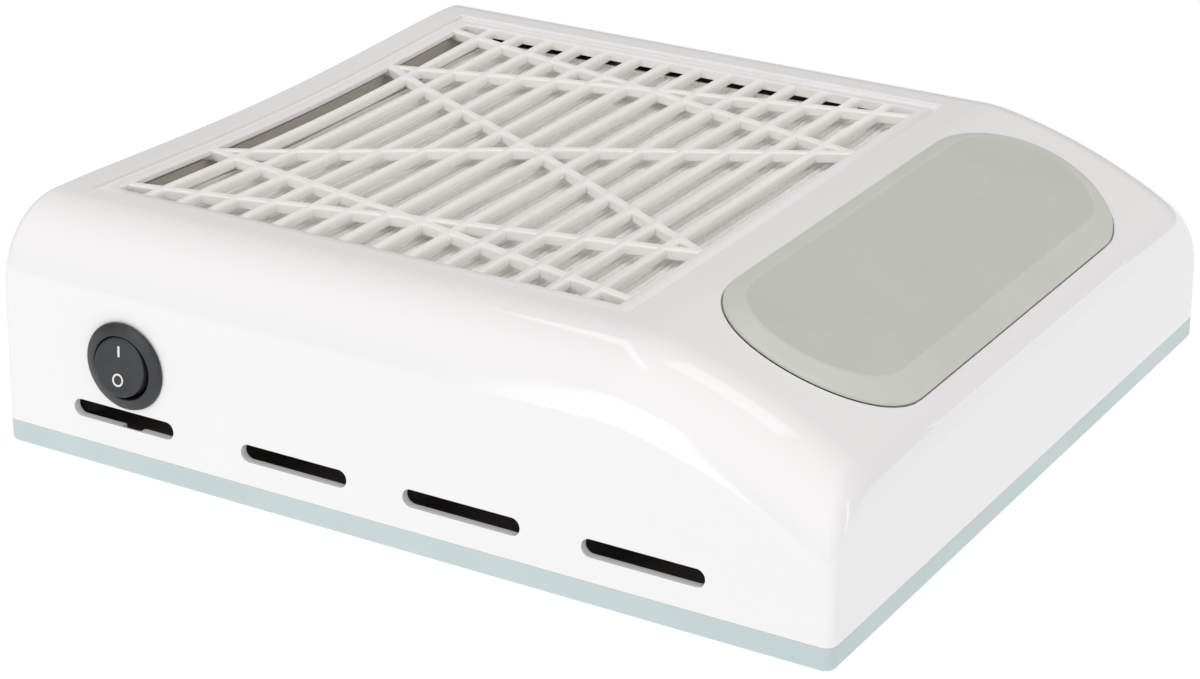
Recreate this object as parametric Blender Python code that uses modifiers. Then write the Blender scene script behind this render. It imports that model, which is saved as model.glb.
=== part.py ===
"""Table-top nail dust collector: housing, base, lift-out grille and filter, fan, motor and switch.

Metres, +Z up, +Y towards the back, -Y towards the user's hand, floor at Z = 0.
"""

import math

import bmesh
import bpy
from mathutils import Matrix, Vector

MM = 0.001
CLEARANCE = 0.3 * MM  # gap between two pieces that touch

# ---------------------------------------------------------------- driving dimensions
WIDTH = 214.0 * MM
DEPTH = 226.0 * MM
DECK_HEIGHT = 60.3 * MM  # from the underside of the base to the deck
FOOT_PROUD = 1.6 * MM
BASE_HEIGHT = 6.0 * MM
WALL = 2.4 * MM

SIDE_RADIUS = 19.2 * MM
FRONT_RADIUS = 5.8 * MM
CORNER_RADIUS = 2.8 * MM
DRAFT = math.radians(0.9)

SLOPE_LENGTH = 58.2 * MM  # the sloping hand rest, measured back from the front wall
SLOPE_START = math.radians(11.4)
SLOPE_BREAK_RADIUS = 35.0 * MM
SLOPE_RADIUS = 150.0 * MM
DISH_DEPTH = 2.3 * MM
DISH_LENGTH = 100.0 * MM

RECESS_FROM_SIDE = 24.7 * MM
RECESS_FROM_BACK = 10.2 * MM
DECK_LAND = 11.3 * MM  # the deck left between the hand rest and the grille
RECESS_STEP = 0.8 * MM  # how far the grille lies below the deck
LEDGE = 3.0 * MM
WELL_DEPTH = 11.9 * MM

GRILLE_THICKNESS = 2.5 * MM
GRILLE_BORDER = 4.5 * MM
SLAT_COUNT = 14
SLAT_WIDTH = 2.8 * MM
RIB_WIDTH = 2.7 * MM
RIB_INNER = 39.6 * MM  # where the inner ribs meet the field's front and back edges
RIB_EDGE = 4.8 * MM  # from the field's side to the outer ribs' ends

FILTER_SIDE_GAP = 0.7 * MM  # between the filter and the opening it lifts through
FILTER_BACK_GAP = 5.6 * MM
FILTER_HEIGHT = 12.0 * MM
FILTER_BELOW_GRILLE = 4.9 * MM  # from the grille's top to the filter's top
FILTER_WALL = 2.0 * MM
FILTER_LIP = 4.0 * MM
FILTER_CORNER = 2.0 * MM
PLEAT_PITCH = 4.0 * MM
PAPER = 0.5 * MM
SEAL_THICKNESS = 2.0 * MM

TRAY_THICKNESS = 2.0 * MM
TRAY_MARGIN = 1.2 * MM  # room between the filter and the tray's wall
TRAY_WALL = 1.6 * MM
TRAY_SCREW_TO_SWITCH = 22.8 * MM  # keeps the back tray posts clear of the switch
TRAY_SCREW_INSET = 8.8 * MM  # the front ones, back from the filter's front
INLET_RADIUS = 46.0 * MM
GUARD_RIM = 2.0 * MM
GUARD_RINGS = (12.0 * MM, 28.0 * MM)  # the inner radii of the guard's rings
GUARD_RING_WIDTH = 1.6 * MM
GUARD_ARM = 2.0 * MM

PAD_FROM_SIDE = 29.2 * MM
PAD_WIDTH = 47.8 * MM
PAD_FROM_FRONT = 5.8 * MM
PAD_EDGE = 0.5 * MM  # the pad's rim above the slope
PAD_RISE = 2.2 * MM
PAD_MARGIN = 5.0 * MM  # the soft slope between the rim and the flat middle
PAD_PLATE = 0.8 * MM
PAD_POCKET = 1.4 * MM
PLATE_INSET = 2.0 * MM  # the plate's edge, in from the pad's

VENTS_FROM_BACK = (36.5 * MM, 86.3 * MM, 132.3 * MM, 179.4 * MM)
VENT_LENGTH = 31.0 * MM
VENT_HEIGHT = 5.2 * MM
VENT_ABOVE_BASE = 14.1 * MM

SWITCH_FROM_BACK = 38.2 * MM
SWITCH_ABOVE_BASE = 28.7 * MM
SWITCH_HOLE_RADIUS = 10.1 * MM
BEZEL_RADIUS = 11.5 * MM
BEZEL_PROUD = 1.8 * MM
BEZEL_MOUTH = 8.5 * MM
SWITCH_BARREL = 14.0 * MM
SWITCH_WALL = 1.2 * MM
ROCKER_RADIUS = 7.8 * MM
ROCKER_THICKNESS = 5.2 * MM
ROCKER_PIVOT = 3.0 * MM  # behind the rocker's face
ROCKER_TILT = math.radians(8.0)
TERMINAL_WIDTH = 4.8 * MM
TERMINAL_THICKNESS = 0.8 * MM
TERMINAL_LENGTH = 8.0 * MM
TERMINAL_GAP = 7.0 * MM

SOCKET_X = -48.0 * MM
SOCKET_ABOVE_BASE = 19.0 * MM
SOCKET_RADIUS = 4.0 * MM
SOCKET_FLANGE = 5.6 * MM
SOCKET_PROUD = 0.8 * MM
SOCKET_LENGTH = 12.0 * MM
SOCKET_BORE = 2.9 * MM
SOCKET_PIN = 1.0 * MM
NUT_THICKNESS = 2.2 * MM

SHAFT_RADIUS = 1.5 * MM
BEARING_RADIUS = 4.0 * MM
BEARING_LENGTH = 4.0 * MM
RUNNING_GAP = 0.08 * MM
TUBE_WALL = 1.0 * MM
MOUNT_RADIUS = 24.0 * MM
MOUNT_THICKNESS = 2.0 * MM
MOUNT_BOSS = 3.0 * MM  # height of the bosses that carry the motor
TUBE_HEIGHT = 23.0 * MM
STATOR_RADIUS = 16.2 * MM
STATOR_HEIGHT = 10.0 * MM
STATOR_ARMS = 6
WINDING_HEIGHT = 2.4 * MM
MAGNET_THICKNESS = 1.8 * MM
AIR_GAP = 0.6 * MM
CUP_WALL = 1.2 * MM
CUP_HEIGHT = 22.0 * MM
ROTOR_LIFT = 8.0 * MM  # from the base floor to the rotor's lower edge
IMPELLER_RADIUS = 57.0 * MM
IMPELLER_HEIGHT = 21.0 * MM
IMPELLER_WALL = 1.5 * MM
IMPELLER_HOOP = 7.0 * MM  # width of the hoop that ties the blades together
BLADE_COUNT = 20
BLADE_ROOT = 38.0 * MM
BLADE_THICKNESS = 1.2 * MM
BLADE_LEAN = math.radians(42.0)

POST_RADIUS = 4.0 * MM
POST_FROM_SIDE = 17.0 * MM
POST_FROM_FRONT = 15.0 * MM
POST_FROM_BACK = 13.0 * MM
PILOT_RADIUS = 1.3 * MM
PILOT_DEPTH = 12.0 * MM
SCREW_RADIUS = 1.1 * MM
SCREW_HEAD_RADIUS = 2.8 * MM
SCREW_HEAD_HEIGHT = 1.6 * MM
SCREW_BITE = 8.0 * MM
MOTOR_BITE = 6.0 * MM
BOARD_BITE = 5.5 * MM

FOOT_RADIUS = 7.0 * MM
FOOT_SEAT = 0.8 * MM
FOOT_FROM_SIDE = 21.0 * MM
FOOT_FROM_END = 29.0 * MM
BASE_FLOOR = 2.2 * MM
BASE_EDGE_RADIUS = 1.1 * MM
TONGUE_THICKNESS = 1.5 * MM
TONGUE_HEIGHT = 2.2 * MM

BOARD_SIZE = (46.0 * MM, 17.0 * MM, 1.6 * MM)
BOARD_X = 44.0 * MM
BOARD_FROM_BACK = 17.0 * MM
BOARD_STANDOFF = 5.0 * MM
BOARD_SCREW_INSET = 4.0 * MM
DRIVER_CHIP = (9.0 * MM, 8.0 * MM, 5.0 * MM)
DRIVER_CHIP_AT = (0.5 * MM, 0.0)  # the components' middles, from the middle of the board
CAPACITOR = (3.0 * MM, 8.0 * MM)  # radius and height
CAPACITOR_AT = (11.0 * MM, -2.0 * MM)
PLUG_BLOCK = (7.0 * MM, 5.5 * MM, 6.0 * MM)
PLUG_BLOCK_AT = (-11.5 * MM, -3.75 * MM)
WIRE_RADIUS = 1.1 * MM
WIRE_LIFT = 1.1 * MM  # how loosely the leads lie over the floor
WIRE_LANE = 13.0 * MM  # the lane of the leads, in from the back wall
WIRE_DROP = 12.0 * MM  # how far beside the switch and the socket the leads come down

# ---------------------------------------------------------------- worked-out levels and places
BASE_BOTTOM = FOOT_PROUD
FLOOR_TOP = BASE_BOTTOM + BASE_FLOOR
SEAM = BASE_BOTTOM + BASE_HEIGHT
DECK = BASE_BOTTOM + DECK_HEIGHT
HALF_WIDTH = WIDTH / 2
HALF_DEPTH = DEPTH / 2
PAD_FRONT = -HALF_DEPTH + PAD_FROM_FRONT
PAD_MIDDLE = PAD_FRONT + PAD_WIDTH / 2
PAD_LENGTH = WIDTH - 2 * PAD_FROM_SIDE
RECESS_WIDTH = WIDTH - 2 * RECESS_FROM_SIDE
RECESS_BACK = HALF_DEPTH - RECESS_FROM_BACK
RECESS_FRONT = PAD_FRONT + PAD_WIDTH + DECK_LAND
GRILLE_TOP = DECK - RECESS_STEP
GRILLE_BOTTOM = GRILLE_TOP - GRILLE_THICKNESS
LEDGE_TOP = GRILLE_BOTTOM - CLEARANCE
WELL_BOTTOM = DECK - WELL_DEPTH
FIELD_X = RECESS_WIDTH / 2 - CLEARANCE - GRILLE_BORDER
FIELD_FRONT = RECESS_FRONT + CLEARANCE + GRILLE_BORDER
FIELD_BACK = RECESS_BACK - CLEARANCE - GRILLE_BORDER
FILTER_TOP = GRILLE_TOP - FILTER_BELOW_GRILLE
FILTER_BOTTOM = FILTER_TOP - FILTER_HEIGHT
FILTER_FRONT = RECESS_FRONT + LEDGE + CLEARANCE
FILTER_LENGTH = RECESS_BACK - LEDGE - FILTER_BACK_GAP - FILTER_FRONT
FILTER_WIDTH = RECESS_WIDTH - 2 * (LEDGE + FILTER_SIDE_GAP)
FILTER_MIDDLE = FILTER_FRONT + FILTER_LENGTH / 2
SEAL_TOP = FILTER_BOTTOM - CLEARANCE
TRAY_TOP = SEAL_TOP - SEAL_THICKNESS - CLEARANCE
TRAY_BOTTOM = TRAY_TOP - TRAY_THICKNESS
FAN_Y = FILTER_MIDDLE
SLOPE_EDGE = -HALF_DEPTH + SLOPE_LENGTH
SWITCH_Y = HALF_DEPTH - SWITCH_FROM_BACK
SWITCH_Z = BASE_BOTTOM + SWITCH_ABOVE_BASE
POST_X = HALF_WIDTH - POST_FROM_SIDE
POST_FRONT = -HALF_DEPTH + POST_FROM_FRONT
POST_BACK = HALF_DEPTH - POST_FROM_BACK
TRAY_SCREW_FRONT = FILTER_FRONT + TRAY_SCREW_INSET
TRAY_SCREW_BACK = SWITCH_Y - TRAY_SCREW_TO_SWITCH
FOOT_X = HALF_WIDTH - FOOT_FROM_SIDE
FOOT_Y = HALF_DEPTH - FOOT_FROM_END
BOARD_Y = HALF_DEPTH - BOARD_FROM_BACK
SOCKET_Z = BASE_BOTTOM + SOCKET_ABOVE_BASE


# ---------------------------------------------------------------- the form of the deck
def slope_drop(y):
    """How far the top lies below the deck at y: level, a soft break, then one long arc to the front."""
    along = SLOPE_EDGE - y
    if along <= 0:
        return 0.0
    soft = SLOPE_BREAK_RADIUS * math.sin(SLOPE_START)
    near = min(along, soft)
    drop = SLOPE_BREAK_RADIUS - math.sqrt(SLOPE_BREAK_RADIUS**2 - near**2)
    if along > soft:
        sine = math.sin(SLOPE_START) + (along - soft) / SLOPE_RADIUS
        drop += SLOPE_RADIUS * (math.cos(SLOPE_START) - math.sqrt(1 - sine**2))
    return drop


def dish_drop(x, y):
    """The shallow dish pressed into the back of the deck: deepest in the middle of the back edge."""
    across = max(0.0, 1 - (x / (RECESS_WIDTH / 2)) ** 2) ** 1.5
    along = (y - (HALF_DEPTH - DISH_LENGTH)) / DISH_LENGTH
    along = min(1.0, max(0.0, along))
    return DISH_DEPTH * across * along * along * (3 - 2 * along)


def lean_share(place, free, full):
    """How much of the walls' lean reaches a point: none inside free, all of it beyond full."""
    share = (abs(place) - free) / (full - free)
    return math.copysign(min(1.0, max(0.0, share)), place)


def formed(point, leaning=True):
    """Takes a point of the square-cut body to the real form: slope, dish and leaning walls."""
    x, y, z = point
    shoulder = DECK - SIDE_RADIUS
    drop = slope_drop(y)
    if z >= shoulder:
        new_z = z - drop - dish_drop(x, y) * min(1.0, (z - shoulder) / (DECK - WELL_DEPTH - shoulder))
    else:
        new_z = SEAM + (z - SEAM) * (shoulder - drop - SEAM) / (shoulder - SEAM)
    if not leaning:
        return Vector((x, y, new_z))
    lean = math.tan(DRAFT) * max(0.0, new_z - SEAM)
    new_x = x - lean * lean_share(x, RECESS_WIDTH / 2 + CLEARANCE, HALF_WIDTH - SIDE_RADIUS)
    new_y = y - lean * lean_share(y, RECESS_BACK + CLEARANCE, HALF_DEPTH - CORNER_RADIUS)
    return Vector((new_x, new_y, new_z))


# ---------------------------------------------------------------- tools for building
def collection(name):
    made = bpy.data.collections.new(name)
    bpy.context.scene.collection.children.link(made)
    return made


def material(name, colour, roughness, metallic=0.0):
    made = bpy.data.materials.new(name)
    made.use_nodes = True
    shader = made.node_tree.nodes["Principled BSDF"]
    shader.inputs["Base Color"].default_value = (*colour, 1.0)
    shader.inputs["Roughness"].default_value = roughness
    shader.inputs["Metallic"].default_value = metallic
    made.diffuse_color = (*colour, 1.0)
    return made


def shade(mesh):
    mesh.shade_smooth()
    mesh.set_sharp_from_angle(angle=math.radians(30))


def piece(name, bm, look, parent=None):
    """Makes a part of the collector from a bmesh."""
    mesh = bpy.data.meshes.new(name)
    bm.to_mesh(mesh)
    bm.free()
    shade(mesh)
    mesh.materials.append(look)
    made = bpy.data.objects.new(name, mesh)
    parts.objects.link(made)
    if parent:
        made.parent = parent
        made.matrix_parent_inverse = parent.matrix_world.inverted()
    return made


def cutter(name, bm):
    """Makes a tool solid that the build leaves out."""
    mesh = bpy.data.meshes.new(name)
    bm.to_mesh(mesh)
    bm.free()
    made = bpy.data.objects.new(name, mesh)
    made.hide_render = True
    made.display_type = "WIRE"
    tools.objects.link(made)
    return made


def boolean(target, tool, operation):
    step = target.modifiers.new(tool.name, "BOOLEAN")
    step.operation = operation
    step.solver = "EXACT"
    step.use_self = True
    step.object = tool
    return step


def evaluated(target):
    """A new bmesh of the object with its modifiers, for the steps that follow them."""
    bpy.context.view_layer.update()
    graph = bpy.context.evaluated_depsgraph_get()
    mesh = bpy.data.meshes.new_from_object(target.evaluated_get(graph))
    bm = bmesh.new()
    bm.from_mesh(mesh)
    bpy.data.meshes.remove(mesh)
    return bm


def block(bm, low, high):
    """A box between two corners."""
    size = Vector(high) - Vector(low)
    made = bmesh.ops.create_cube(bm, size=1)["verts"]
    bmesh.ops.scale(bm, vec=size, verts=made)
    bmesh.ops.translate(bm, vec=(Vector(low) + Vector(high)) / 2, verts=made)
    return made


def rod(bm, centre, radius, bottom, top, segments=24, top_radius=None):
    """An upright cylinder or cone."""
    made = bmesh.ops.create_cone(
        bm, cap_ends=True, segments=segments, radius1=radius,
        radius2=radius if top_radius is None else top_radius, depth=top - bottom,
    )["verts"]
    bmesh.ops.translate(bm, vec=(centre[0], centre[1], (bottom + top) / 2), verts=made)
    return made


def soften(bm, edges, width, segments):
    bmesh.ops.bevel(
        bm, geom=edges, offset=width, segments=segments, profile=0.5, affect="EDGES",
        offset_type="OFFSET", material=-1,
    )


def upright_edges(bm):
    return [e for e in bm.edges if abs((e.verts[0].co - e.verts[1].co).normalized().z) > 0.9]


def slab(low, high, radius, segments=4):
    """A box with rounded upright edges."""
    bm = bmesh.new()
    block(bm, low, high)
    if radius:
        soften(bm, upright_edges(bm), radius, segments)
    return bm


def stadium(length, width, bottom, top, centre_y, segments=10):
    """A plate with half-round ends, in line with X."""
    half = (length / 2, width / 2)
    bm = bmesh.new()
    block(bm, (-half[0], centre_y - half[1], bottom), (half[0], centre_y + half[1], top))
    soften(bm, upright_edges(bm), width / 2 - 0.01 * MM, segments)
    return bm


def turned(name, profile, look, place=(0, 0, 0), turn=(0, 0, 0), steps=32, parent=None):
    """A closed outline of (radius, height) points turned about the local Z axis.

    The outline runs down its outer side and up its inner side.
    """
    mesh = bpy.data.meshes.new(name)
    points = [(radius, 0, height) for radius, height in profile]
    edges = [(i, (i + 1) % len(points)) for i in range(len(points))]
    if profile[0][0] == 0 and profile[-1][0] == 0:
        edges.pop()
    mesh.from_pydata(points, edges, [])
    mesh.materials.append(look)
    made = bpy.data.objects.new(name, mesh)
    made.location = place
    made.rotation_euler = turn
    parts.objects.link(made)
    spin = made.modifiers.new("turn", "SCREW")
    spin.angle = 2 * math.pi
    spin.steps = steps
    spin.render_steps = steps
    spin.use_merge_vertices = True
    spin.merge_threshold = 0.00001
    spin.use_smooth_shade = True
    if parent:
        bpy.context.view_layer.update()
        made.parent = parent
        made.matrix_parent_inverse = parent.matrix_world.inverted()
    return made


def ring(inner, outer, bottom, top):
    """The outline of a plain ring, for turned()."""
    return [(outer, top), (outer, bottom), (inner, bottom), (inner, top)]


def hub(name, place):
    """An empty on a joint's axis."""
    made = bpy.data.objects.new(name, None)
    made.location = place
    parts.objects.link(made)
    bpy.context.view_layer.update()
    return made


def smooth_route(points, per_span):
    """Points along one smooth curve through the given ones."""
    ends = [2 * points[0] - points[1], *points, 2 * points[-1] - points[-2]]
    route = []
    for a, b, c, d in zip(ends, ends[1:], ends[2:], ends[3:]):
        for step in range(per_span):
            t = step / per_span
            route.append(
                0.5 * (2 * b + (c - a) * t + (2 * a - 5 * b + 4 * c - d) * t**2
                       + (3 * b - a - 3 * c + d) * t**3)
            )
    return [*route, points[-1]]


def wire(name, points, look):
    """A flexible lead laid along a smooth route."""
    route = smooth_route([Vector(p) for p in points], 4)
    curve = bpy.data.curves.new(name, "CURVE")
    curve.dimensions = "3D"
    curve.bevel_depth = WIRE_RADIUS
    curve.bevel_resolution = 1
    curve.use_fill_caps = True
    spline = curve.splines.new("POLY")
    spline.points.add(len(route) - 1)
    for point, place in zip(spline.points, route):
        point.co = (*place, 1)
    curve.materials.append(look)
    made = bpy.data.objects.new(name, curve)
    parts.objects.link(made)
    return made


def screw(name, x, y, head_bottom, looking_up, look, bite):
    """A pan-head screw. looking_up: driven upwards, so its head is below its shank."""
    sign = 1 if looking_up else -1
    outline = [
        (0, -SCREW_HEAD_HEIGHT), (SCREW_HEAD_RADIUS * 0.7, -SCREW_HEAD_HEIGHT),
        (SCREW_HEAD_RADIUS, -SCREW_HEAD_HEIGHT * 0.45), (SCREW_HEAD_RADIUS, 0), (SCREW_RADIUS, 0),
        (SCREW_RADIUS, bite - SCREW_RADIUS), (0, bite),
    ]
    outline.reverse()
    turn = (0, 0, 0) if sign > 0 else (math.pi, 0, 0)
    made = turned(name, outline, look, place=(x, y, head_bottom), turn=turn, steps=8)
    slot = bmesh.new()
    low = -SCREW_HEAD_HEIGHT * 1.2
    high = -SCREW_HEAD_HEIGHT * 0.45
    half = SCREW_HEAD_RADIUS * 0.55
    thin = SCREW_HEAD_RADIUS * 0.13
    block(slot, (-half, -thin, low), (half, thin, high))
    cross = cutter(f"{name}_slot", slot)
    cross.location = (x, y, head_bottom)
    cross.rotation_euler = turn
    boolean(made, cross, "DIFFERENCE")
    return made


# ---------------------------------------------------------------- upper housing
def housing_skin():
    """The outer skin as a square-cut block with its edges rounded, open below."""
    bm = bmesh.new()
    block(bm, (-HALF_WIDTH, -HALF_DEPTH, SEAM), (HALF_WIDTH, HALF_DEPTH, DECK))
    long_top = [
        e for e in bm.edges
        if all(v.co.z > SEAM + MM for v in e.verts) and abs(e.verts[0].co.x - e.verts[1].co.x) < MM
    ]
    soften(bm, long_top, SIDE_RADIUS, 7)
    weights = bm.edges.layers.float.new("bevel_weight_edge")
    shoulder = DECK - SIDE_RADIUS
    for edge in bm.edges:
        a, b = (v.co for v in edge.verts)
        at_end = abs(abs(a.y) - HALF_DEPTH) < MM and abs(a.y - b.y) < MM
        on_floor = max(a.z, b.z) < SEAM + MM
        if not at_end or on_floor:
            continue
        small = CORNER_RADIUS / FRONT_RADIUS
        rise = min(1.0, max(0.0, ((a.z + b.z) / 2 - shoulder) / SIDE_RADIUS))
        edge[weights] = small + (1 - small) * rise if a.y < 0 else small
    bm.normal_update()
    floor = [f for f in bm.faces if f.normal.z < -0.9]
    bmesh.ops.delete(bm, geom=floor, context="FACES")
    return bm


def cut_across(bm, places, normal):
    """Cuts the mesh along planes so that it can follow a curve."""
    for place in places:
        bmesh.ops.bisect_plane(
            bm, geom=bm.verts[:] + bm.edges[:] + bm.faces[:], dist=0.00002,
            plane_co=Vector(normal) * place, plane_no=normal,
        )


def form(bm, slope=True, dish=True):
    """Gives a square-cut mesh the form of the deck."""
    if slope:
        steps = 6
        soft = SLOPE_BREAK_RADIUS * math.sin(SLOPE_START)
        rest = (SLOPE_LENGTH - soft) / steps
        cuts = [SLOPE_EDGE, SLOPE_EDGE - soft / 2]
        cuts += [SLOPE_EDGE - soft - rest * i for i in range(steps)]
        cut_across(bm, cuts, (0, 1, 0))
    if dish:
        steps = 3
        cut_across(bm, [HALF_DEPTH - DISH_LENGTH * i / steps for i in range(1, steps + 1)], (0, 1, 0))
        cut_across(bm, [RECESS_WIDTH / 2 * i / steps for i in range(1 - steps, steps)], (1, 0, 0))
    bmesh.ops.triangulate(bm, faces=bm.faces[:])
    for vert in bm.verts:
        vert.co = formed(vert.co)
    bm.normal_update()


def stadium_hole(name, centre, length, height):
    """A slot cutter through a side wall: long in Y, with rounded ends."""
    bm = bmesh.new()
    reach = 4 * WALL
    half_y, half_z = length / 2, height / 2
    block(bm, (centre[0] - reach, centre[1] - half_y, centre[2] - half_z),
          (centre[0] + reach, centre[1] + half_y, centre[2] + half_z))
    across = [e for e in bm.edges if abs((e.verts[0].co - e.verts[1].co).normalized().x) > 0.9]
    soften(bm, across, half_z - 0.01 * MM, 4)
    return cutter(name, bm)


def wall_inset(z):
    """How far a leaning wall stands in from the seam's outline at a height."""
    return math.tan(DRAFT) * (z - SEAM)


def upper_housing():
    skin = bpy.data.meshes.new("skin")
    bm = housing_skin()
    bm.to_mesh(skin)
    bm.free()
    body = bpy.data.objects.new("housing_body", skin)
    tools.objects.link(body)
    body.hide_render = True
    round_off = body.modifiers.new("round the ends", "BEVEL")
    round_off.limit_method = "WEIGHT"
    round_off.width = FRONT_RADIUS
    round_off.segments = 3
    shell = body.modifiers.new("wall", "SOLIDIFY")
    shell.thickness = WALL
    shell.offset = -1
    shell.use_even_offset = True

    joined = bmesh.new()
    hidden = WALL * 0.5
    for sign, edge in ((1, RECESS_BACK), (-1, RECESS_FRONT)):
        near, far = sorted((edge - sign * LEDGE, edge + sign * LEDGE))
        block(joined, (-RECESS_WIDTH / 2 - LEDGE, near, WELL_BOTTOM),
              (RECESS_WIDTH / 2 + LEDGE, far, DECK - hidden))
    boolean(body, cutter("ledges", joined), "UNION")

    seat = stadium(PAD_LENGTH + 4 * WALL, PAD_WIDTH + 4 * WALL, DECK - PAD_POCKET - WALL,
                   DECK - hidden * 1.2, PAD_MIDDLE)
    boolean(body, cutter("pad_seat", seat), "UNION")

    away = bmesh.new()
    block(away, (-RECESS_WIDTH / 2, RECESS_FRONT, LEDGE_TOP), (RECESS_WIDTH / 2, RECESS_BACK, DECK + WALL))
    boolean(body, cutter("recess", away), "DIFFERENCE")
    pocket = stadium(PAD_LENGTH + 2 * CLEARANCE, PAD_WIDTH + 2 * CLEARANCE, DECK - PAD_POCKET,
                     DECK + WALL, PAD_MIDDLE)
    boolean(body, cutter("pad_pocket", pocket), "DIFFERENCE")

    bm = evaluated(body)
    form(bm)
    made = piece("upper_housing", bm, white_gloss)
    posts = bmesh.new()
    pilots = bmesh.new()
    for x in (-POST_X, POST_X):
        for y in (POST_FRONT, POST_BACK):
            rod(posts, (x, y), POST_RADIUS, SEAM, DECK - 0.75 * WALL, 16)
            rod(pilots, (x, y), PILOT_RADIUS, SEAM - WALL, SEAM + PILOT_DEPTH, 12)
        for y in (TRAY_SCREW_FRONT, TRAY_SCREW_BACK):
            rod(posts, (x, y), POST_RADIUS, TRAY_TOP + CLEARANCE, DECK - 0.75 * WALL, 16)
            rod(pilots, (x, y), PILOT_RADIUS, TRAY_TOP - WALL, TRAY_TOP + PILOT_DEPTH, 12)
    bmesh.ops.triangulate(posts, faces=posts.faces[:])
    for vert in posts.verts:
        vert.co = formed(vert.co, leaning=False)
    boolean(made, cutter("posts", posts), "UNION")
    boolean(made, cutter("pilots", pilots), "DIFFERENCE")
    vent_z = BASE_BOTTOM + VENT_ABOVE_BASE
    for sign in (-1, 1):
        for number, from_back in enumerate(VENTS_FROM_BACK, 1):
            centre = (sign * HALF_WIDTH, HALF_DEPTH - from_back, vent_z)
            side = "left" if sign < 0 else "right"
            hole = stadium_hole(f"vent_{side}_{number}", centre, VENT_LENGTH, VENT_HEIGHT)
            boolean(made, hole, "DIFFERENCE")
    bm = bmesh.new()
    rod(bm, (0, 0), SWITCH_HOLE_RADIUS, -4 * WALL, 4 * WALL, 32)
    hole = cutter("switch_hole", bm)
    hole.rotation_euler = (0, math.pi / 2, 0)
    hole.location = (-HALF_WIDTH, SWITCH_Y, SWITCH_Z)
    boolean(made, hole, "DIFFERENCE")
    bm = bmesh.new()
    rod(bm, (0, 0), SOCKET_RADIUS + CLEARANCE, -4 * WALL, 4 * WALL, 24)
    hole = cutter("socket_hole", bm)
    hole.rotation_euler = (math.pi / 2, 0, 0)
    hole.location = (SOCKET_X, HALF_DEPTH, SOCKET_Z)
    boolean(made, hole, "DIFFERENCE")
    return made


# ---------------------------------------------------------------- grille and filter
def filter_grille():
    half = RECESS_WIDTH / 2 - CLEARANCE
    front = RECESS_FRONT + CLEARANCE
    back = RECESS_BACK - CLEARANCE
    frame = slab((-half, front, GRILLE_BOTTOM), (half, back, GRILLE_TOP), 0)
    body = cutter("grille_body", frame)
    field = slab((-FIELD_X, FIELD_FRONT, GRILLE_BOTTOM - MM), (FIELD_X, FIELD_BACK, GRILLE_TOP + MM), 0)
    boolean(body, cutter("grille_field", field), "DIFFERENCE")

    sink = 0.04 * MM
    into = GRILLE_BORDER / 2
    pitch = (FIELD_BACK - FIELD_FRONT) / (SLAT_COUNT + 1)
    slats = bmesh.new()
    for number in range(1, SLAT_COUNT + 1):
        y = FIELD_FRONT + pitch * number + SLAT_WIDTH / 4
        block(slats, (-FIELD_X - into, y - SLAT_WIDTH / 2, GRILLE_BOTTOM + sink),
              (FIELD_X + into, y + SLAT_WIDTH / 2, GRILLE_TOP - sink))
    boolean(body, cutter("grille_slats", slats), "UNION")
    length = FIELD_BACK - FIELD_FRONT + 2 * into
    middle = (FIELD_FRONT + FIELD_BACK) / 2
    outer = FIELD_X - RIB_EDGE
    for number, (start, end) in enumerate((
        (-outer, -RIB_INNER), (-RIB_INNER, -outer), (-RIB_INNER, RIB_INNER),
        (RIB_INNER, -RIB_INNER), (RIB_INNER, outer), (outer, RIB_INNER),
    )):
        bm = bmesh.new()
        lower = 2 * sink + number * sink / 2
        verts = block(bm, (-RIB_WIDTH / 2, -length / 2, GRILLE_BOTTOM + lower),
                      (RIB_WIDTH / 2, length / 2, GRILLE_TOP - lower))
        lean = (end - start) / (FIELD_BACK - FIELD_FRONT)
        for vert in verts:
            vert.co.x += (start + end) / 2 + lean * vert.co.y
            vert.co.y += middle
        boolean(body, cutter(f"grille_rib_{number + 1}", bm), "UNION")
    bm = evaluated(body)
    form(bm, slope=False)
    return piece("filter_grille", bm, white_satin)


def filter_frame():
    half = FILTER_WIDTH / 2
    back = FILTER_FRONT + FILTER_LENGTH
    bm = slab((-half, FILTER_FRONT, FILTER_BOTTOM), (half, back, FILTER_TOP), FILTER_CORNER, 3)
    made = piece("filter_frame", bm, filter_plastic, filter_hub)
    inside = FILTER_WALL
    bm = slab((-half + inside, FILTER_FRONT + inside, FILTER_BOTTOM - MM),
              (half - inside, back - inside, FILTER_TOP - FILTER_WALL), 0)
    boolean(made, cutter("filter_frame_inside", bm), "DIFFERENCE")
    inside = FILTER_LIP
    bm = slab((-half + inside, FILTER_FRONT + inside, FILTER_BOTTOM - MM),
              (half - inside, back - inside, FILTER_TOP + MM), 0)
    boolean(made, cutter("filter_frame_mouth", bm), "DIFFERENCE")
    return made


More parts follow.
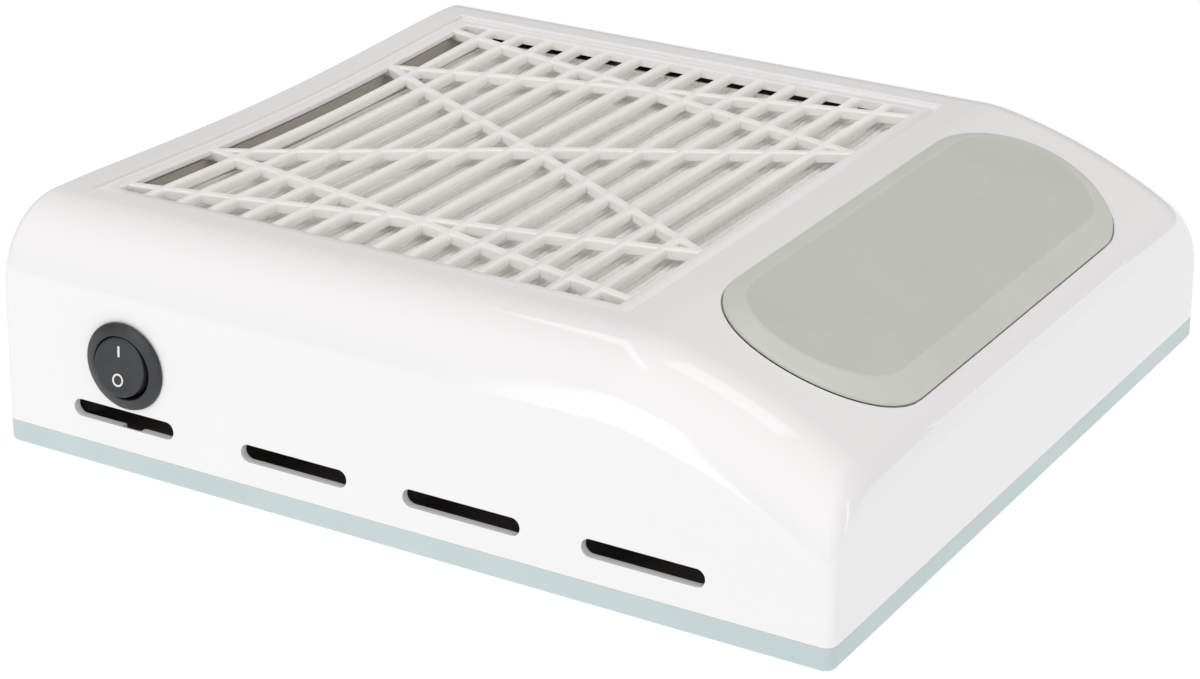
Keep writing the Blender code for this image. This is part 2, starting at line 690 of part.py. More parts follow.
def filter_media():
    """Pleated paper: a zigzag of sheets that run along X, given its thickness by Solidify."""
    half = FILTER_WIDTH / 2 - FILTER_WALL - CLEARANCE
    low = FILTER_BOTTOM + PAPER
    high = FILTER_TOP - FILTER_WALL - PAPER - CLEARANCE
    front = FILTER_FRONT + FILTER_WALL + CLEARANCE + PAPER
    room = FILTER_LENGTH - 2 * (FILTER_WALL + CLEARANCE + PAPER)
    folds = 2 * int(room / PLEAT_PITCH)
    bm = bmesh.new()
    line = [
        bm.verts.new((-half, front + room * fold / folds, low if fold % 2 == 0 else high))
        for fold in range(folds + 1)
    ]
    edges = [bm.edges.new(pair) for pair in zip(line, line[1:])]
    sheet = bmesh.ops.extrude_edge_only(bm, edges=edges)["geom"]
    moved = [item for item in sheet if isinstance(item, bmesh.types.BMVert)]
    bmesh.ops.translate(bm, vec=(2 * half, 0, 0), verts=moved)
    bmesh.ops.recalc_face_normals(bm, faces=bm.faces[:])
    made = piece("filter_media", bm, paper, filter_hub)
    body = made.modifiers.new("thickness", "SOLIDIFY")
    body.thickness = PAPER
    body.offset = 0
    return made


def filter_seal():
    half = FILTER_WIDTH / 2
    back = FILTER_FRONT + FILTER_LENGTH
    bm = slab((-half, FILTER_FRONT, SEAL_TOP - SEAL_THICKNESS), (half, back, SEAL_TOP), FILTER_CORNER, 3)
    made = piece("filter_seal", bm, foam)
    inside = 2 * FILTER_LIP
    bm = slab((-half + inside, FILTER_FRONT + inside, TRAY_BOTTOM),
              (half - inside, back - inside, FILTER_TOP), FILTER_CORNER, 3)
    boolean(made, cutter("filter_seal_mouth", bm), "DIFFERENCE")
    return made


# ---------------------------------------------------------------- tray, guard and fan
def fan_tray():
    """The partition under the filter: a low tray with the fan's inlet and four screw ears."""
    half = FILTER_WIDTH / 2 + TRAY_MARGIN + TRAY_WALL
    front = FILTER_FRONT - TRAY_MARGIN - TRAY_WALL
    back = FILTER_FRONT + FILTER_LENGTH + TRAY_MARGIN + TRAY_WALL
    rim = WELL_BOTTOM - 2 * CLEARANCE
    bm = slab((-half, front, TRAY_BOTTOM), (half, back, rim), 3 * MM, 3)
    made = piece("fan_tray", bm, white_satin)
    ears = bmesh.new()
    for y in (TRAY_SCREW_FRONT, TRAY_SCREW_BACK):
        block(ears, (-POST_X - POST_RADIUS, y - POST_RADIUS, TRAY_BOTTOM + 0.05 * MM),
              (POST_X + POST_RADIUS, y + POST_RADIUS, TRAY_TOP - 0.05 * MM))
    boolean(made, cutter("tray_ears", ears), "UNION")
    bm = slab((-half + TRAY_WALL, front + TRAY_WALL, TRAY_TOP),
              (half - TRAY_WALL, back - TRAY_WALL, rim + MM), 1.5 * MM, 3)
    boolean(made, cutter("tray_inside", bm), "DIFFERENCE")
    mouth = bmesh.new()
    rod(mouth, (0, FAN_Y), INLET_RADIUS, TRAY_BOTTOM - MM, TRAY_TOP + MM, 48)
    boolean(made, cutter("tray_inlet", mouth), "DIFFERENCE")
    holes = bmesh.new()
    for x in (-POST_X, POST_X):
        for y in (TRAY_SCREW_FRONT, TRAY_SCREW_BACK):
            rod(holes, (x, y), SCREW_RADIUS + CLEARANCE, TRAY_BOTTOM - MM, TRAY_TOP + MM, 12)
    boolean(made, cutter("tray_screw_holes", holes), "DIFFERENCE")
    return made


def fan_guard():
    """A moulded finger guard that drops into the inlet: rings on four arms."""
    top = TRAY_TOP - 0.1 * MM
    bottom = TRAY_BOTTOM + 0.2 * MM
    outer = INLET_RADIUS - CLEARANCE
    made = turned("fan_guard", ring(outer - GUARD_RIM, outer, bottom, top), grey_plastic,
                  place=(0, FAN_Y, 0), steps=40)
    thin = 0.1 * MM
    for number, radius in enumerate(GUARD_RINGS):
        hoop = turned(f"guard_hoop_{number}", ring(radius, radius + GUARD_RING_WIDTH, bottom + thin, top - thin),
                      grey_plastic, steps=24)
        parts.objects.unlink(hoop)
        tools.objects.link(hoop)
        hoop.hide_render = True
        hoop.display_type = "WIRE"
        hoop.location = (0, FAN_Y, 0)
        boolean(made, hoop, "UNION")
    arms = bmesh.new()
    reach = outer - GUARD_RIM / 2
    half = GUARD_ARM / 2
    block(arms, (-reach, FAN_Y - half, bottom + 2 * thin), (reach, FAN_Y + half, top - 2 * thin))
    boolean(made, cutter("guard_arm_x", arms), "UNION")
    arms = bmesh.new()
    block(arms, (-half, FAN_Y - reach, bottom + 3 * thin), (half, FAN_Y + reach, top - 3 * thin))
    boolean(made, cutter("guard_arm_y", arms), "UNION")
    return made


ROTOR_BOTTOM = FLOOR_TOP + ROTOR_LIFT
CUP_RADIUS = STATOR_RADIUS + AIR_GAP + MAGNET_THICKNESS + CLEARANCE + CUP_WALL
CUP_TOP = ROTOR_BOTTOM + CUP_HEIGHT
IMPELLER_HUB = CUP_RADIUS + CLEARANCE + IMPELLER_WALL
IMPELLER_TOP = ROTOR_BOTTOM + IMPELLER_HEIGHT


def fan_impeller():
    """Backward-leaning blades on a disc, with the hub cup in the middle."""
    roof = CUP_TOP + CLEARANCE + IMPELLER_WALL
    outline = [
        (IMPELLER_HUB, roof), (IMPELLER_HUB, ROTOR_BOTTOM + IMPELLER_WALL),
        (IMPELLER_RADIUS, ROTOR_BOTTOM + IMPELLER_WALL), (IMPELLER_RADIUS, ROTOR_BOTTOM),
        (IMPELLER_HUB - IMPELLER_WALL, ROTOR_BOTTOM), (IMPELLER_HUB - IMPELLER_WALL, roof - IMPELLER_WALL),
        (SHAFT_RADIUS + CLEARANCE, roof - IMPELLER_WALL), (SHAFT_RADIUS + CLEARANCE, roof),
    ]
    made = turned("fan_impeller", outline, grey_plastic, place=(0, FAN_Y, 0), steps=40, parent=fan_hub)
    overlap = 0.2 * MM
    blades = bmesh.new()
    chord = (IMPELLER_RADIUS - BLADE_ROOT) / math.cos(BLADE_LEAN) * 0.96
    for number in range(BLADE_COUNT):
        low = (0, -BLADE_THICKNESS / 2, ROTOR_BOTTOM + IMPELLER_WALL - overlap)
        verts = block(blades, low, (chord, BLADE_THICKNESS / 2, IMPELLER_TOP))
        turn = Matrix.Rotation(2 * math.pi * number / BLADE_COUNT, 4, "Z")
        lean = Matrix.Rotation(-BLADE_LEAN, 4, "Z")
        place = Matrix.Translation((0, FAN_Y, 0)) @ turn @ Matrix.Translation((BLADE_ROOT, 0, 0)) @ lean
        bmesh.ops.transform(blades, matrix=place, verts=verts)
    boolean(made, cutter("impeller_blades", blades), "UNION")
    hoop = turned("impeller_hoop", ring(IMPELLER_RADIUS - IMPELLER_HOOP, IMPELLER_RADIUS - overlap,
                                        IMPELLER_TOP - overlap, IMPELLER_TOP + IMPELLER_WALL),
                  grey_plastic, steps=40)
    parts.objects.unlink(hoop)
    tools.objects.link(hoop)
    hoop.hide_render = True
    hoop.display_type = "WIRE"
    hoop.location = (0, FAN_Y, 0)
    boolean(made, hoop, "UNION")
    return made


def fan_motor():
    """An outer-rotor motor: mount and bearing tube, stator inside, magnet cup and shaft outside."""
    place = (0, FAN_Y, 0)
    mount_bottom = FLOOR_TOP + MOUNT_BOSS + CLEARANCE
    mount_top = mount_bottom + MOUNT_THICKNESS
    tube_outer = BEARING_RADIUS + CLEARANCE + TUBE_WALL
    tube_inner = BEARING_RADIUS + CLEARANCE
    tube_top = mount_bottom + TUBE_HEIGHT
    outline = [
        (tube_outer, tube_top), (tube_outer, mount_top), (MOUNT_RADIUS, mount_top),
        (MOUNT_RADIUS, mount_bottom), (tube_inner, mount_bottom), (tube_inner, tube_top),
    ]
    mount = turned("motor_mount", outline, steel, place=place)
    holes = bmesh.new()
    for number, spot in enumerate(motor_screw_spots()):
        rod(holes, spot, SCREW_RADIUS + CLEARANCE, mount_bottom - MM, mount_top + MM, 12)
        screw(f"motor_screw_{number + 1}", *spot, mount_top + CLEARANCE, False, steel, MOTOR_BITE)
    boolean(mount, cutter("motor_mount_holes", holes), "DIFFERENCE")

    bore = SHAFT_RADIUS + RUNNING_GAP
    low = mount_bottom + 2 * MM
    turned("fan_bearing_lower", ring(bore, BEARING_RADIUS, low, low + BEARING_LENGTH), brass, place=place)
    high = tube_top - MM
    turned("fan_bearing_upper", ring(bore, BEARING_RADIUS, high - BEARING_LENGTH, high), brass, place=place)

    board = mount_top + 2 * MM
    core = board + 4.5 * MM
    inner = tube_outer + CLEARANCE
    turned("motor_board", ring(inner, STATOR_RADIUS, board, board + 1.4 * MM), board_green, place=place)
    stator = turned("stator_core", ring(inner, STATOR_RADIUS, core, core + STATOR_HEIGHT), steel, place=place)
    slots = bmesh.new()
    for number in range(STATOR_ARMS):
        angle = math.pi * (2 * number + 1) / STATOR_ARMS
        reach = STATOR_RADIUS * 0.62
        spot = (reach * math.cos(angle), FAN_Y + reach * math.sin(angle))
        rod(slots, spot, STATOR_RADIUS * 0.2, core - MM, core + STATOR_HEIGHT + MM, 10)
        verts = block(slots, (STATOR_RADIUS * 0.7, -0.6 * MM, core - 0.8 * MM),
                      (STATOR_RADIUS * 1.1, 0.6 * MM, core + STATOR_HEIGHT + 0.8 * MM))
        turn = Matrix.Translation((0, FAN_Y, 0)) @ Matrix.Rotation(angle, 4, "Z")
        bmesh.ops.transform(slots, matrix=turn, verts=verts)
    boolean(stator, cutter("stator_slots", slots), "DIFFERENCE")
    coil = (STATOR_RADIUS * 0.45, STATOR_RADIUS * 0.88)
    bottom = core - CLEARANCE - WINDING_HEIGHT
    turned("stator_winding_lower", ring(*coil, bottom, core - CLEARANCE), copper, place=place)
    bottom = core + STATOR_HEIGHT + CLEARANCE
    turned("stator_winding_upper", ring(*coil, bottom, bottom + WINDING_HEIGHT), copper, place=place)

    magnet = STATOR_RADIUS + AIR_GAP
    turned("rotor_magnet", ring(magnet, magnet + MAGNET_THICKNESS, ROTOR_BOTTOM + 0.5 * MM,
                                CUP_TOP - CUP_WALL - 1.5 * MM), dark_steel, place=place, parent=fan_hub)
    outline = [
        (CUP_RADIUS, CUP_TOP), (CUP_RADIUS, ROTOR_BOTTOM + CLEARANCE),
        (CUP_RADIUS - CUP_WALL, ROTOR_BOTTOM + CLEARANCE), (CUP_RADIUS - CUP_WALL, CUP_TOP - CUP_WALL),
        (SHAFT_RADIUS + CLEARANCE, CUP_TOP - CUP_WALL), (SHAFT_RADIUS + CLEARANCE, CUP_TOP),
    ]
    turned("rotor_cup", outline, steel, place=place, parent=fan_hub)
    end = CUP_TOP + CLEARANCE + IMPELLER_WALL
    chamfer = 0.4 * MM
    outline = [
        (0, end), (SHAFT_RADIUS - chamfer, end), (SHAFT_RADIUS, end - chamfer),
        (SHAFT_RADIUS, mount_bottom + chamfer), (SHAFT_RADIUS - chamfer, mount_bottom + CLEARANCE),
        (0, mount_bottom + CLEARANCE),
    ]
    turned("fan_shaft", outline, steel, place=place, steps=24, parent=fan_hub)


# ---------------------------------------------------------------- base, feet and screws
def base_plate():
    low = (-HALF_WIDTH, -HALF_DEPTH, BASE_BOTTOM)
    bm = slab(low, (HALF_WIDTH, HALF_DEPTH, SEAM - CLEARANCE), CORNER_RADIUS, 4)
    bottom = [e for e in bm.edges if all(v.co.z < BASE_BOTTOM + 0.1 * MM for v in e.verts)]
    soften(bm, bottom, BASE_EDGE_RADIUS, 3)
    made = piece("base_plate", bm, blue_grey)

    inset = WALL + CLEARANCE
    bm = slab((-HALF_WIDTH + inset, -HALF_DEPTH + inset, FLOOR_TOP - MM),
              (HALF_WIDTH - inset, HALF_DEPTH - inset, SEAM + TONGUE_HEIGHT), CORNER_RADIUS, 3)
    boolean(made, cutter("base_tongue", bm), "UNION")
    inset += TONGUE_THICKNESS
    bm = slab((-HALF_WIDTH + inset, -HALF_DEPTH + inset, FLOOR_TOP),
              (HALF_WIDTH - inset, HALF_DEPTH - inset, SEAM + TONGUE_HEIGHT + MM), CORNER_RADIUS, 3)
    boolean(made, cutter("base_inside", bm), "DIFFERENCE")

    bosses = bmesh.new()
    for x in (-POST_X, POST_X):
        for y in (POST_FRONT, POST_BACK):
            rod(bosses, (x, y), POST_RADIUS, FLOOR_TOP - MM, SEAM - CLEARANCE, 16)
    for spot in motor_screw_spots():
        rod(bosses, spot, 3 * MM, FLOOR_TOP - MM, FLOOR_TOP + MOUNT_BOSS, 12)
    half = BOARD_SIZE[0] / 2 - BOARD_SCREW_INSET
    for x in (BOARD_X - half, BOARD_X + half):
        rod(bosses, (x, BOARD_Y), 2.6 * MM, FLOOR_TOP - MM, FLOOR_TOP + BOARD_STANDOFF, 12)
    boolean(made, cutter("base_bosses", bosses), "UNION")

    holes = bmesh.new()
    for x in (-POST_X, POST_X):
        for y in (POST_FRONT, POST_BACK):
            rod(holes, (x, y), SCREW_RADIUS + CLEARANCE, BASE_BOTTOM - MM, SEAM + MM, 12)
            rod(holes, (x, y), SCREW_HEAD_RADIUS + CLEARANCE, BASE_BOTTOM - 2 * MM, head_seat(), 16)
    for x in (-FOOT_X, FOOT_X):
        for y in (-FOOT_Y, FOOT_Y):
            rod(holes, (x, y), FOOT_RADIUS + CLEARANCE, BASE_BOTTOM - MM, BASE_BOTTOM + FOOT_SEAT, 24)
    for x in (BOARD_X - half, BOARD_X + half):
        rod(holes, (x, BOARD_Y), PILOT_RADIUS, FLOOR_TOP + MM, FLOOR_TOP + BOARD_STANDOFF + MM, 12)
    for spot in motor_screw_spots():
        rod(holes, spot, PILOT_RADIUS, BASE_BOTTOM + MM, FLOOR_TOP + MOUNT_BOSS + MM, 12)
    boolean(made, cutter("base_holes", holes), "DIFFERENCE")
    return made


def motor_screw_spots():
    """Where the three motor screws stand, seen from above."""
    reach = MOUNT_RADIUS - 4 * MM
    angles = [2 * math.pi * number / 3 for number in range(3)]
    return [(reach * math.cos(angle), FAN_Y + reach * math.sin(angle)) for angle in angles]


def head_seat():
    """The level that the base screws' heads bear on, inside their counterbore."""
    return BASE_BOTTOM + SCREW_HEAD_HEIGHT + CLEARANCE


def feet_and_screws():
    top = BASE_BOTTOM + FOOT_SEAT - CLEARANCE
    outline = [
        (0, top), (FOOT_RADIUS, top), (FOOT_RADIUS, 0.5 * MM), (FOOT_RADIUS - 0.5 * MM, 0), (0, 0),
    ]
    for end, y in (("front", -FOOT_Y), ("back", FOOT_Y)):
        for side, x in (("left", -FOOT_X), ("right", FOOT_X)):
            turned(f"foot_{end}_{side}", outline, black_rubber, place=(x, y, 0), steps=24)
    for end, y in (("front", POST_FRONT), ("back", POST_BACK)):
        for side, x in (("left", -POST_X), ("right", POST_X)):
            screw(f"base_screw_{end}_{side}", x, y, head_seat() - CLEARANCE, True, steel, SCREW_BITE)
    for end, y in (("front", TRAY_SCREW_FRONT), ("back", TRAY_SCREW_BACK)):
        for side, x in (("left", -POST_X), ("right", POST_X)):
            screw(f"tray_screw_{end}_{side}", x, y, TRAY_BOTTOM - CLEARANCE, True, steel, SCREW_BITE)


# ---------------------------------------------------------------- switch
def switch():
    """A round snap-in rocker switch. Its local Z axis points out of the left wall."""
    face = -HALF_WIDTH + wall_inset(SWITCH_Z)
    place = (face, SWITCH_Y, SWITCH_Z)
    outward = (0, -math.pi / 2, 0)
    barrel = SWITCH_HOLE_RADIUS - CLEARANCE
    back = -WALL - SWITCH_BARREL
    outline = [
        (0, back + SWITCH_WALL), (BEZEL_MOUTH, back + SWITCH_WALL), (BEZEL_MOUTH, BEZEL_PROUD),
        (BEZEL_MOUTH + 0.6 * MM, BEZEL_PROUD), (BEZEL_RADIUS - 0.4 * MM, 0.9 * MM),
        (BEZEL_RADIUS, 0.5 * MM), (BEZEL_RADIUS, CLEARANCE), (barrel, CLEARANCE), (barrel, back), (0, back),
    ]
    body = turned("switch_body", outline, black_plastic, place=place, turn=outward, steps=40)
    gaps = bmesh.new()
    for sign in (-1, 1):
        z = sign * TERMINAL_GAP / 2
        block(gaps, (z - TERMINAL_THICKNESS, -TERMINAL_WIDTH / 2 - CLEARANCE, back - MM),
              (z + TERMINAL_THICKNESS, TERMINAL_WIDTH / 2 + CLEARANCE, back + SWITCH_WALL + MM))
    slots = cutter("terminal_slots", gaps)
    slots.location = place
    slots.rotation_euler = outward
    boolean(body, slots, "DIFFERENCE")
    for number, sign in enumerate((1, -1), 1):
        z = sign * TERMINAL_GAP / 2
        bm = bmesh.new()
        verts = block(bm, (z - TERMINAL_THICKNESS / 2, -TERMINAL_WIDTH / 2, back - TERMINAL_LENGTH),
                      (z + TERMINAL_THICKNESS / 2, TERMINAL_WIDTH / 2, back + SWITCH_WALL + 2 * MM))
        outward_turn = Matrix.Translation(place) @ Matrix.Rotation(-math.pi / 2, 4, "Y")
        bmesh.ops.transform(bm, matrix=outward_turn, verts=verts)
        piece(f"switch_terminal_{number}", bm, brass)

    rocker_place = Vector(place) + Vector((ROCKER_PIVOT - BEZEL_PROUD, 0, 0))
    hinge = hub("rocker_hinge", rocker_place)
    crown = 0.5 * MM
    edge = ROCKER_PIVOT - 0.4 * MM
    outline = [
        (0, ROCKER_PIVOT - crown), (ROCKER_RADIUS * 0.6, ROCKER_PIVOT - crown * 0.7),
        (ROCKER_RADIUS - 0.4 * MM, ROCKER_PIVOT), (ROCKER_RADIUS, edge),
        (ROCKER_RADIUS, ROCKER_PIVOT - ROCKER_THICKNESS),
        (ROCKER_RADIUS - 2.4 * MM, ROCKER_PIVOT - ROCKER_THICKNESS - 1.6 * MM),
        (0, ROCKER_PIVOT - ROCKER_THICKNESS - 1.6 * MM),
    ]
    turned("switch_rocker", outline, black_plastic, place=rocker_place,
           turn=(0, -math.pi / 2 + ROCKER_TILT, 0), steps=40, parent=hinge)


# ---------------------------------------------------------------- power socket, board and wires
def power_socket():
    """A barrel socket through the back wall, held by a nut inside. Its local Z axis points backwards."""
    face = HALF_DEPTH - wall_inset(SOCKET_Z)
    place = (SOCKET_X, face, SOCKET_Z)
    backward = (-math.pi / 2, 0, 0)
    end = -SOCKET_LENGTH
    outline = [
        (0, -0.5 * MM), (SOCKET_PIN, -0.5 * MM), (SOCKET_PIN, end + 2 * MM), (SOCKET_BORE, end + 2 * MM),
        (SOCKET_BORE, SOCKET_PROUD), (SOCKET_FLANGE - 0.3 * MM, SOCKET_PROUD),
        (SOCKET_FLANGE, SOCKET_PROUD * 0.6), (SOCKET_FLANGE, CLEARANCE), (SOCKET_RADIUS, CLEARANCE),
        (SOCKET_RADIUS, end), (0, end),
    ]
    turned("power_socket", outline, black_plastic, place=place, turn=backward, steps=24)
    inner = -WALL - CLEARANCE
    lay_back = Matrix.Translation(place) @ Matrix.Rotation(-math.pi / 2, 4, "X")
    bm = bmesh.new()
    rod(bm, (0, 0), SOCKET_RADIUS + 2.6 * MM, inner - NUT_THICKNESS, inner, 6)
    bmesh.ops.transform(bm, matrix=lay_back, verts=bm.verts[:])
    nut = piece("socket_nut", bm, steel)
    bm = bmesh.new()
    rod(bm, (0, 0), SOCKET_RADIUS + CLEARANCE, inner - 2 * NUT_THICKNESS, inner + NUT_THICKNESS, 24)
    bmesh.ops.transform(bm, matrix=lay_back, verts=bm.verts[:])
    boolean(nut, cutter("nut_bore", bm), "DIFFERENCE")


def control_board():
    low = FLOOR_TOP + BOARD_STANDOFF + CLEARANCE
    half = (BOARD_SIZE[0] / 2, BOARD_SIZE[1] / 2)
    x, y = BOARD_X, BOARD_Y
    bm = slab((x - half[0], y - half[1], low), (x + half[0], y + half[1], low + BOARD_SIZE[2]), 1 * MM, 2)
    made = piece("control_board", bm, board_green)
    parts_on = bmesh.new()
    top = low + BOARD_SIZE[2] - 0.2 * MM
    for size, at in ((DRIVER_CHIP, DRIVER_CHIP_AT), (PLUG_BLOCK, PLUG_BLOCK_AT)):
        low_corner = (x + at[0] - size[0] / 2, y + at[1] - size[1] / 2, top)
        high_corner = (x + at[0] + size[0] / 2, y + at[1] + size[1] / 2, top + size[2])
        block(parts_on, low_corner, high_corner)
    can = (x + CAPACITOR_AT[0], y + CAPACITOR_AT[1])
    rod(parts_on, can, CAPACITOR[0], top, top + CAPACITOR[1], 14)
    boolean(made, cutter("board_components", parts_on), "UNION")
    holes = bmesh.new()
    for sign in (-1, 1):
        spot = (x + sign * (half[0] - BOARD_SCREW_INSET), y)
        rod(holes, spot, SCREW_RADIUS + CLEARANCE, low - MM, low + BOARD_SIZE[2] + MM, 12)
        side = "left" if sign < 0 else "right"
        screw(f"board_screw_{side}", *spot, low + BOARD_SIZE[2] + CLEARANCE, False, steel, BOARD_BITE)
    boolean(made, cutter("board_holes", holes), "DIFFERENCE")


def wires():
    """Leads between the switch, the socket, the board and the motor, laid on the base floor."""
    lay = FLOOR_TOP + WIRE_RADIUS + CLEARANCE + WIRE_LIFT
    reach = WIRE_RADIUS + CLEARANCE
    tag = -HALF_WIDTH + wall_inset(SWITCH_Z) + WALL + SWITCH_BARREL + TERMINAL_LENGTH + reach
    edge = BOARD_X - BOARD_SIZE[0] / 2 - 2 * reach
    gap = TERMINAL_GAP / 2
    lane = HALF_DEPTH - WIRE_LANE
    plug = HALF_DEPTH - wall_inset(SOCKET_Z) - SOCKET_LENGTH - reach
    wire("wire_live", [
        (tag, SWITCH_Y, SWITCH_Z + gap), (tag + reach, SWITCH_Y + WIRE_DROP / 2, SWITCH_Z + gap / 2),
        (tag + WIRE_DROP / 2, lane - WIRE_DROP / 2, (SWITCH_Z + lay) / 2),
        (tag + 2 * WIRE_DROP, lane, lay), (SOCKET_X + 2 * WIRE_DROP, lane, lay), (edge, BOARD_Y, lay),
    ], wire_red)
    wire("wire_socket", [
        (SOCKET_X, plug, SOCKET_Z), (SOCKET_X - gap, plug - WIRE_DROP / 2, SOCKET_Z - gap),
        (tag + WIRE_DROP, (plug + SWITCH_Y) / 2, (SOCKET_Z + SWITCH_Z) / 2 - 2 * gap),
        (tag, SWITCH_Y, SWITCH_Z - gap),
    ], wire_black)
    wire("wire_ground", [
        (SOCKET_X + gap, plug, SOCKET_Z - gap / 2), (SOCKET_X + WIRE_DROP, plug - gap, (SOCKET_Z + lay) / 2),
        (SOCKET_X + 2 * WIRE_DROP, HALF_DEPTH - WIRE_LANE / 2 - reach, lay),
        (edge - WIRE_DROP, HALF_DEPTH - WIRE_LANE / 2 - reach, lay),
        (edge, BOARD_Y + BOARD_SIZE[1] / 3, lay),
    ], wire_black)
    front = BOARD_Y - BOARD_SIZE[1] / 2 - 2 * reach
    end = (STATOR_RADIUS + reach, FAN_Y + STATOR_RADIUS + reach)
    wire("wire_motor", [
        (BOARD_X, front, lay), ((BOARD_X + end[0]) / 2 + gap, (front + end[1]) / 2, lay), (*end, lay),
    ], wire_red)


# ---------------------------------------------------------------- hand rest
def hand_rest():
    """A soft pad on its plate, both bent to the slope and seated in the pocket."""
    low = DECK - PAD_POCKET + CLEARANCE
    bm = stadium(PAD_LENGTH - 2 * PLATE_INSET, PAD_WIDTH - 2 * PLATE_INSET, low, low + PAD_PLATE, PAD_MIDDLE, 6)
    form(bm, dish=False)
    piece("hand_rest_plate", bm, grey_plastic)
    low += PAD_PLATE + CLEARANCE
    high = DECK + PAD_EDGE
    bm = stadium(PAD_LENGTH, PAD_WIDTH, low, high, PAD_MIDDLE, 8)
    top = [f for f in bm.faces if f.calc_center_median().z > high - 0.1 * MM]
    straight = (PAD_LENGTH - PAD_WIDTH) / 2
    reach = PAD_WIDTH / 2
    for inset, rise in ((0.3 * PAD_MARGIN, 0.65), (0.7 * PAD_MARGIN, 0.35)):
        bmesh.ops.inset_region(bm, faces=top, thickness=0)
        for vert in {v for f in top for v in f.verts}:
            spine = Vector((min(straight, max(-straight, vert.co.x)), PAD_MIDDLE, vert.co.z))
            vert.co = spine + (vert.co - spine) * (reach - inset) / reach
            vert.co.z += rise * (PAD_RISE - PAD_EDGE)
        reach -= inset
    form(bm, dish=False)
    piece("hand_rest_pad", bm, pad_grey)


# ---------------------------------------------------------------- build
for old in list(bpy.data.objects):
    bpy.data.objects.remove(old, do_unlink=True)

parts = collection("nail_dust_collector")
tools = collection("cutters")

white_gloss = material("white gloss ABS", (0.86, 0.86, 0.87), 0.18)
white_satin = material("white satin ABS", (0.82, 0.82, 0.81), 0.4)
blue_grey = material("blue-grey ABS", (0.55, 0.64, 0.65), 0.35)
pad_grey = material("grey-green soft PU", (0.48, 0.5, 0.45), 0.6)
black_plastic = material("black nylon", (0.05, 0.05, 0.055), 0.4)
grey_plastic = material("dark grey ABS", (0.12, 0.12, 0.13), 0.45)
filter_plastic = material("filter frame plastic", (0.78, 0.78, 0.76), 0.5)
paper = material("filter paper", (0.8, 0.8, 0.78), 0.9)
foam = material("seal foam", (0.1, 0.1, 0.1), 0.95)
steel = material("zinc-plated steel", (0.6, 0.6, 0.6), 0.35, 1.0)
dark_steel = material("ferrite", (0.08, 0.08, 0.08), 0.6)
brass = material("brass", (0.72, 0.55, 0.25), 0.35, 1.0)
copper = material("enamelled copper", (0.6, 0.27, 0.12), 0.4, 1.0)
board_green = material("circuit board", (0.05, 0.22, 0.1), 0.5)
black_rubber = material("black rubber", (0.03, 0.03, 0.03), 0.8)
wire_red = material("red lead", (0.5, 0.03, 0.03), 0.5)
wire_black = material("black lead", (0.03, 0.03, 0.03), 0.5)

fan_hub = hub("fan_axis", (0, FAN_Y, 0))
filter_hub = hub("filter_lift", (0, FILTER_MIDDLE, 0))

upper_housing()
base_plate()
feet_and_screws()
filter_grille()
filter_frame()
filter_media()
filter_seal()
fan_tray()
fan_guard()
fan_impeller()
fan_motor()
switch()
power_socket()
control_board()
wires()
hand_rest()
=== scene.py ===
import math

import bmesh
import bpy
from mathutils import Matrix, Quaternion, Vector, noise


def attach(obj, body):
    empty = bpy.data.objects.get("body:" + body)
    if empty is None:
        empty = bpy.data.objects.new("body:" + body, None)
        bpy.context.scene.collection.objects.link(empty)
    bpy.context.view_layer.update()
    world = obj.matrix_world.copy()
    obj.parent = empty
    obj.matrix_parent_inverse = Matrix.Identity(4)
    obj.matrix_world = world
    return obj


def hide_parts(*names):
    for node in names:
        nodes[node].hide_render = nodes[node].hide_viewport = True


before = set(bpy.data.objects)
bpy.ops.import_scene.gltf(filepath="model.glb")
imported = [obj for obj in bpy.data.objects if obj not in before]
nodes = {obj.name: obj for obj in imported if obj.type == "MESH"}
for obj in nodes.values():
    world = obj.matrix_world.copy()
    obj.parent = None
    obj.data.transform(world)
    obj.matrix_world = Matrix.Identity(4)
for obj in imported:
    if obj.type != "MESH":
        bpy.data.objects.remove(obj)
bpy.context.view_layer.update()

MM = 0.001

# ---------------------------------------------------------------- studio
# A light table inside a white tent that glows most over the camera. A low box on the left makes
# the streak along the side, a slim one the line on the front corner, and two strips hang overhead.


def linear(hex_colour):
    """An sRGB hex colour as the linear colour that sockets hold."""
    steps = [int(hex_colour[i:i + 2], 16) / 255 for i in (0, 2, 4)]
    return (*[c / 12.92 if c <= 0.04045 else ((c + 0.055) / 1.055) ** 2.4 for c in steps], 1.0)


def add(tree, kind, sockets=None, **settings):
    """Adds a node with its settings, values and links."""
    made = tree.nodes.new(kind)
    for name, value in settings.items():
        setattr(made, name, value)
    for name, value in (sockets or {}).items():
        if isinstance(value, bpy.types.NodeSocket):
            tree.links.new(value, made.inputs[name])
        else:
            made.inputs[name].default_value = value
    return made


def finish(name, colour, roughness, **sockets):
    """A material with its Principled shader; what varies over it is linked in afterwards."""
    made = bpy.data.materials.new(name)
    made.use_nodes = True
    shader = made.node_tree.nodes["Principled BSDF"]
    shader.inputs["Base Color"].default_value = linear(colour)
    shader.inputs["Roughness"].default_value = roughness
    for socket, value in sockets.items():
        shader.inputs[socket.replace("_", " ")].default_value = value
    return made, made.node_tree, shader


table_glass, tree, shader = finish("opal glass, lit from below", "000000", 0.9)
shader.inputs["Emission Color"].default_value = linear("FFFFFF")
shader.inputs["Emission Strength"].default_value = 1.0

bm = bmesh.new()
bmesh.ops.create_grid(bm, x_segments=2, y_segments=2, size=6.0)
mesh = bpy.data.meshes.new("light_table")
bm.to_mesh(mesh)
bm.free()
mesh.materials.append(table_glass)
floor = bpy.data.objects.new("light_table", mesh)
bpy.context.scene.collection.objects.link(floor)

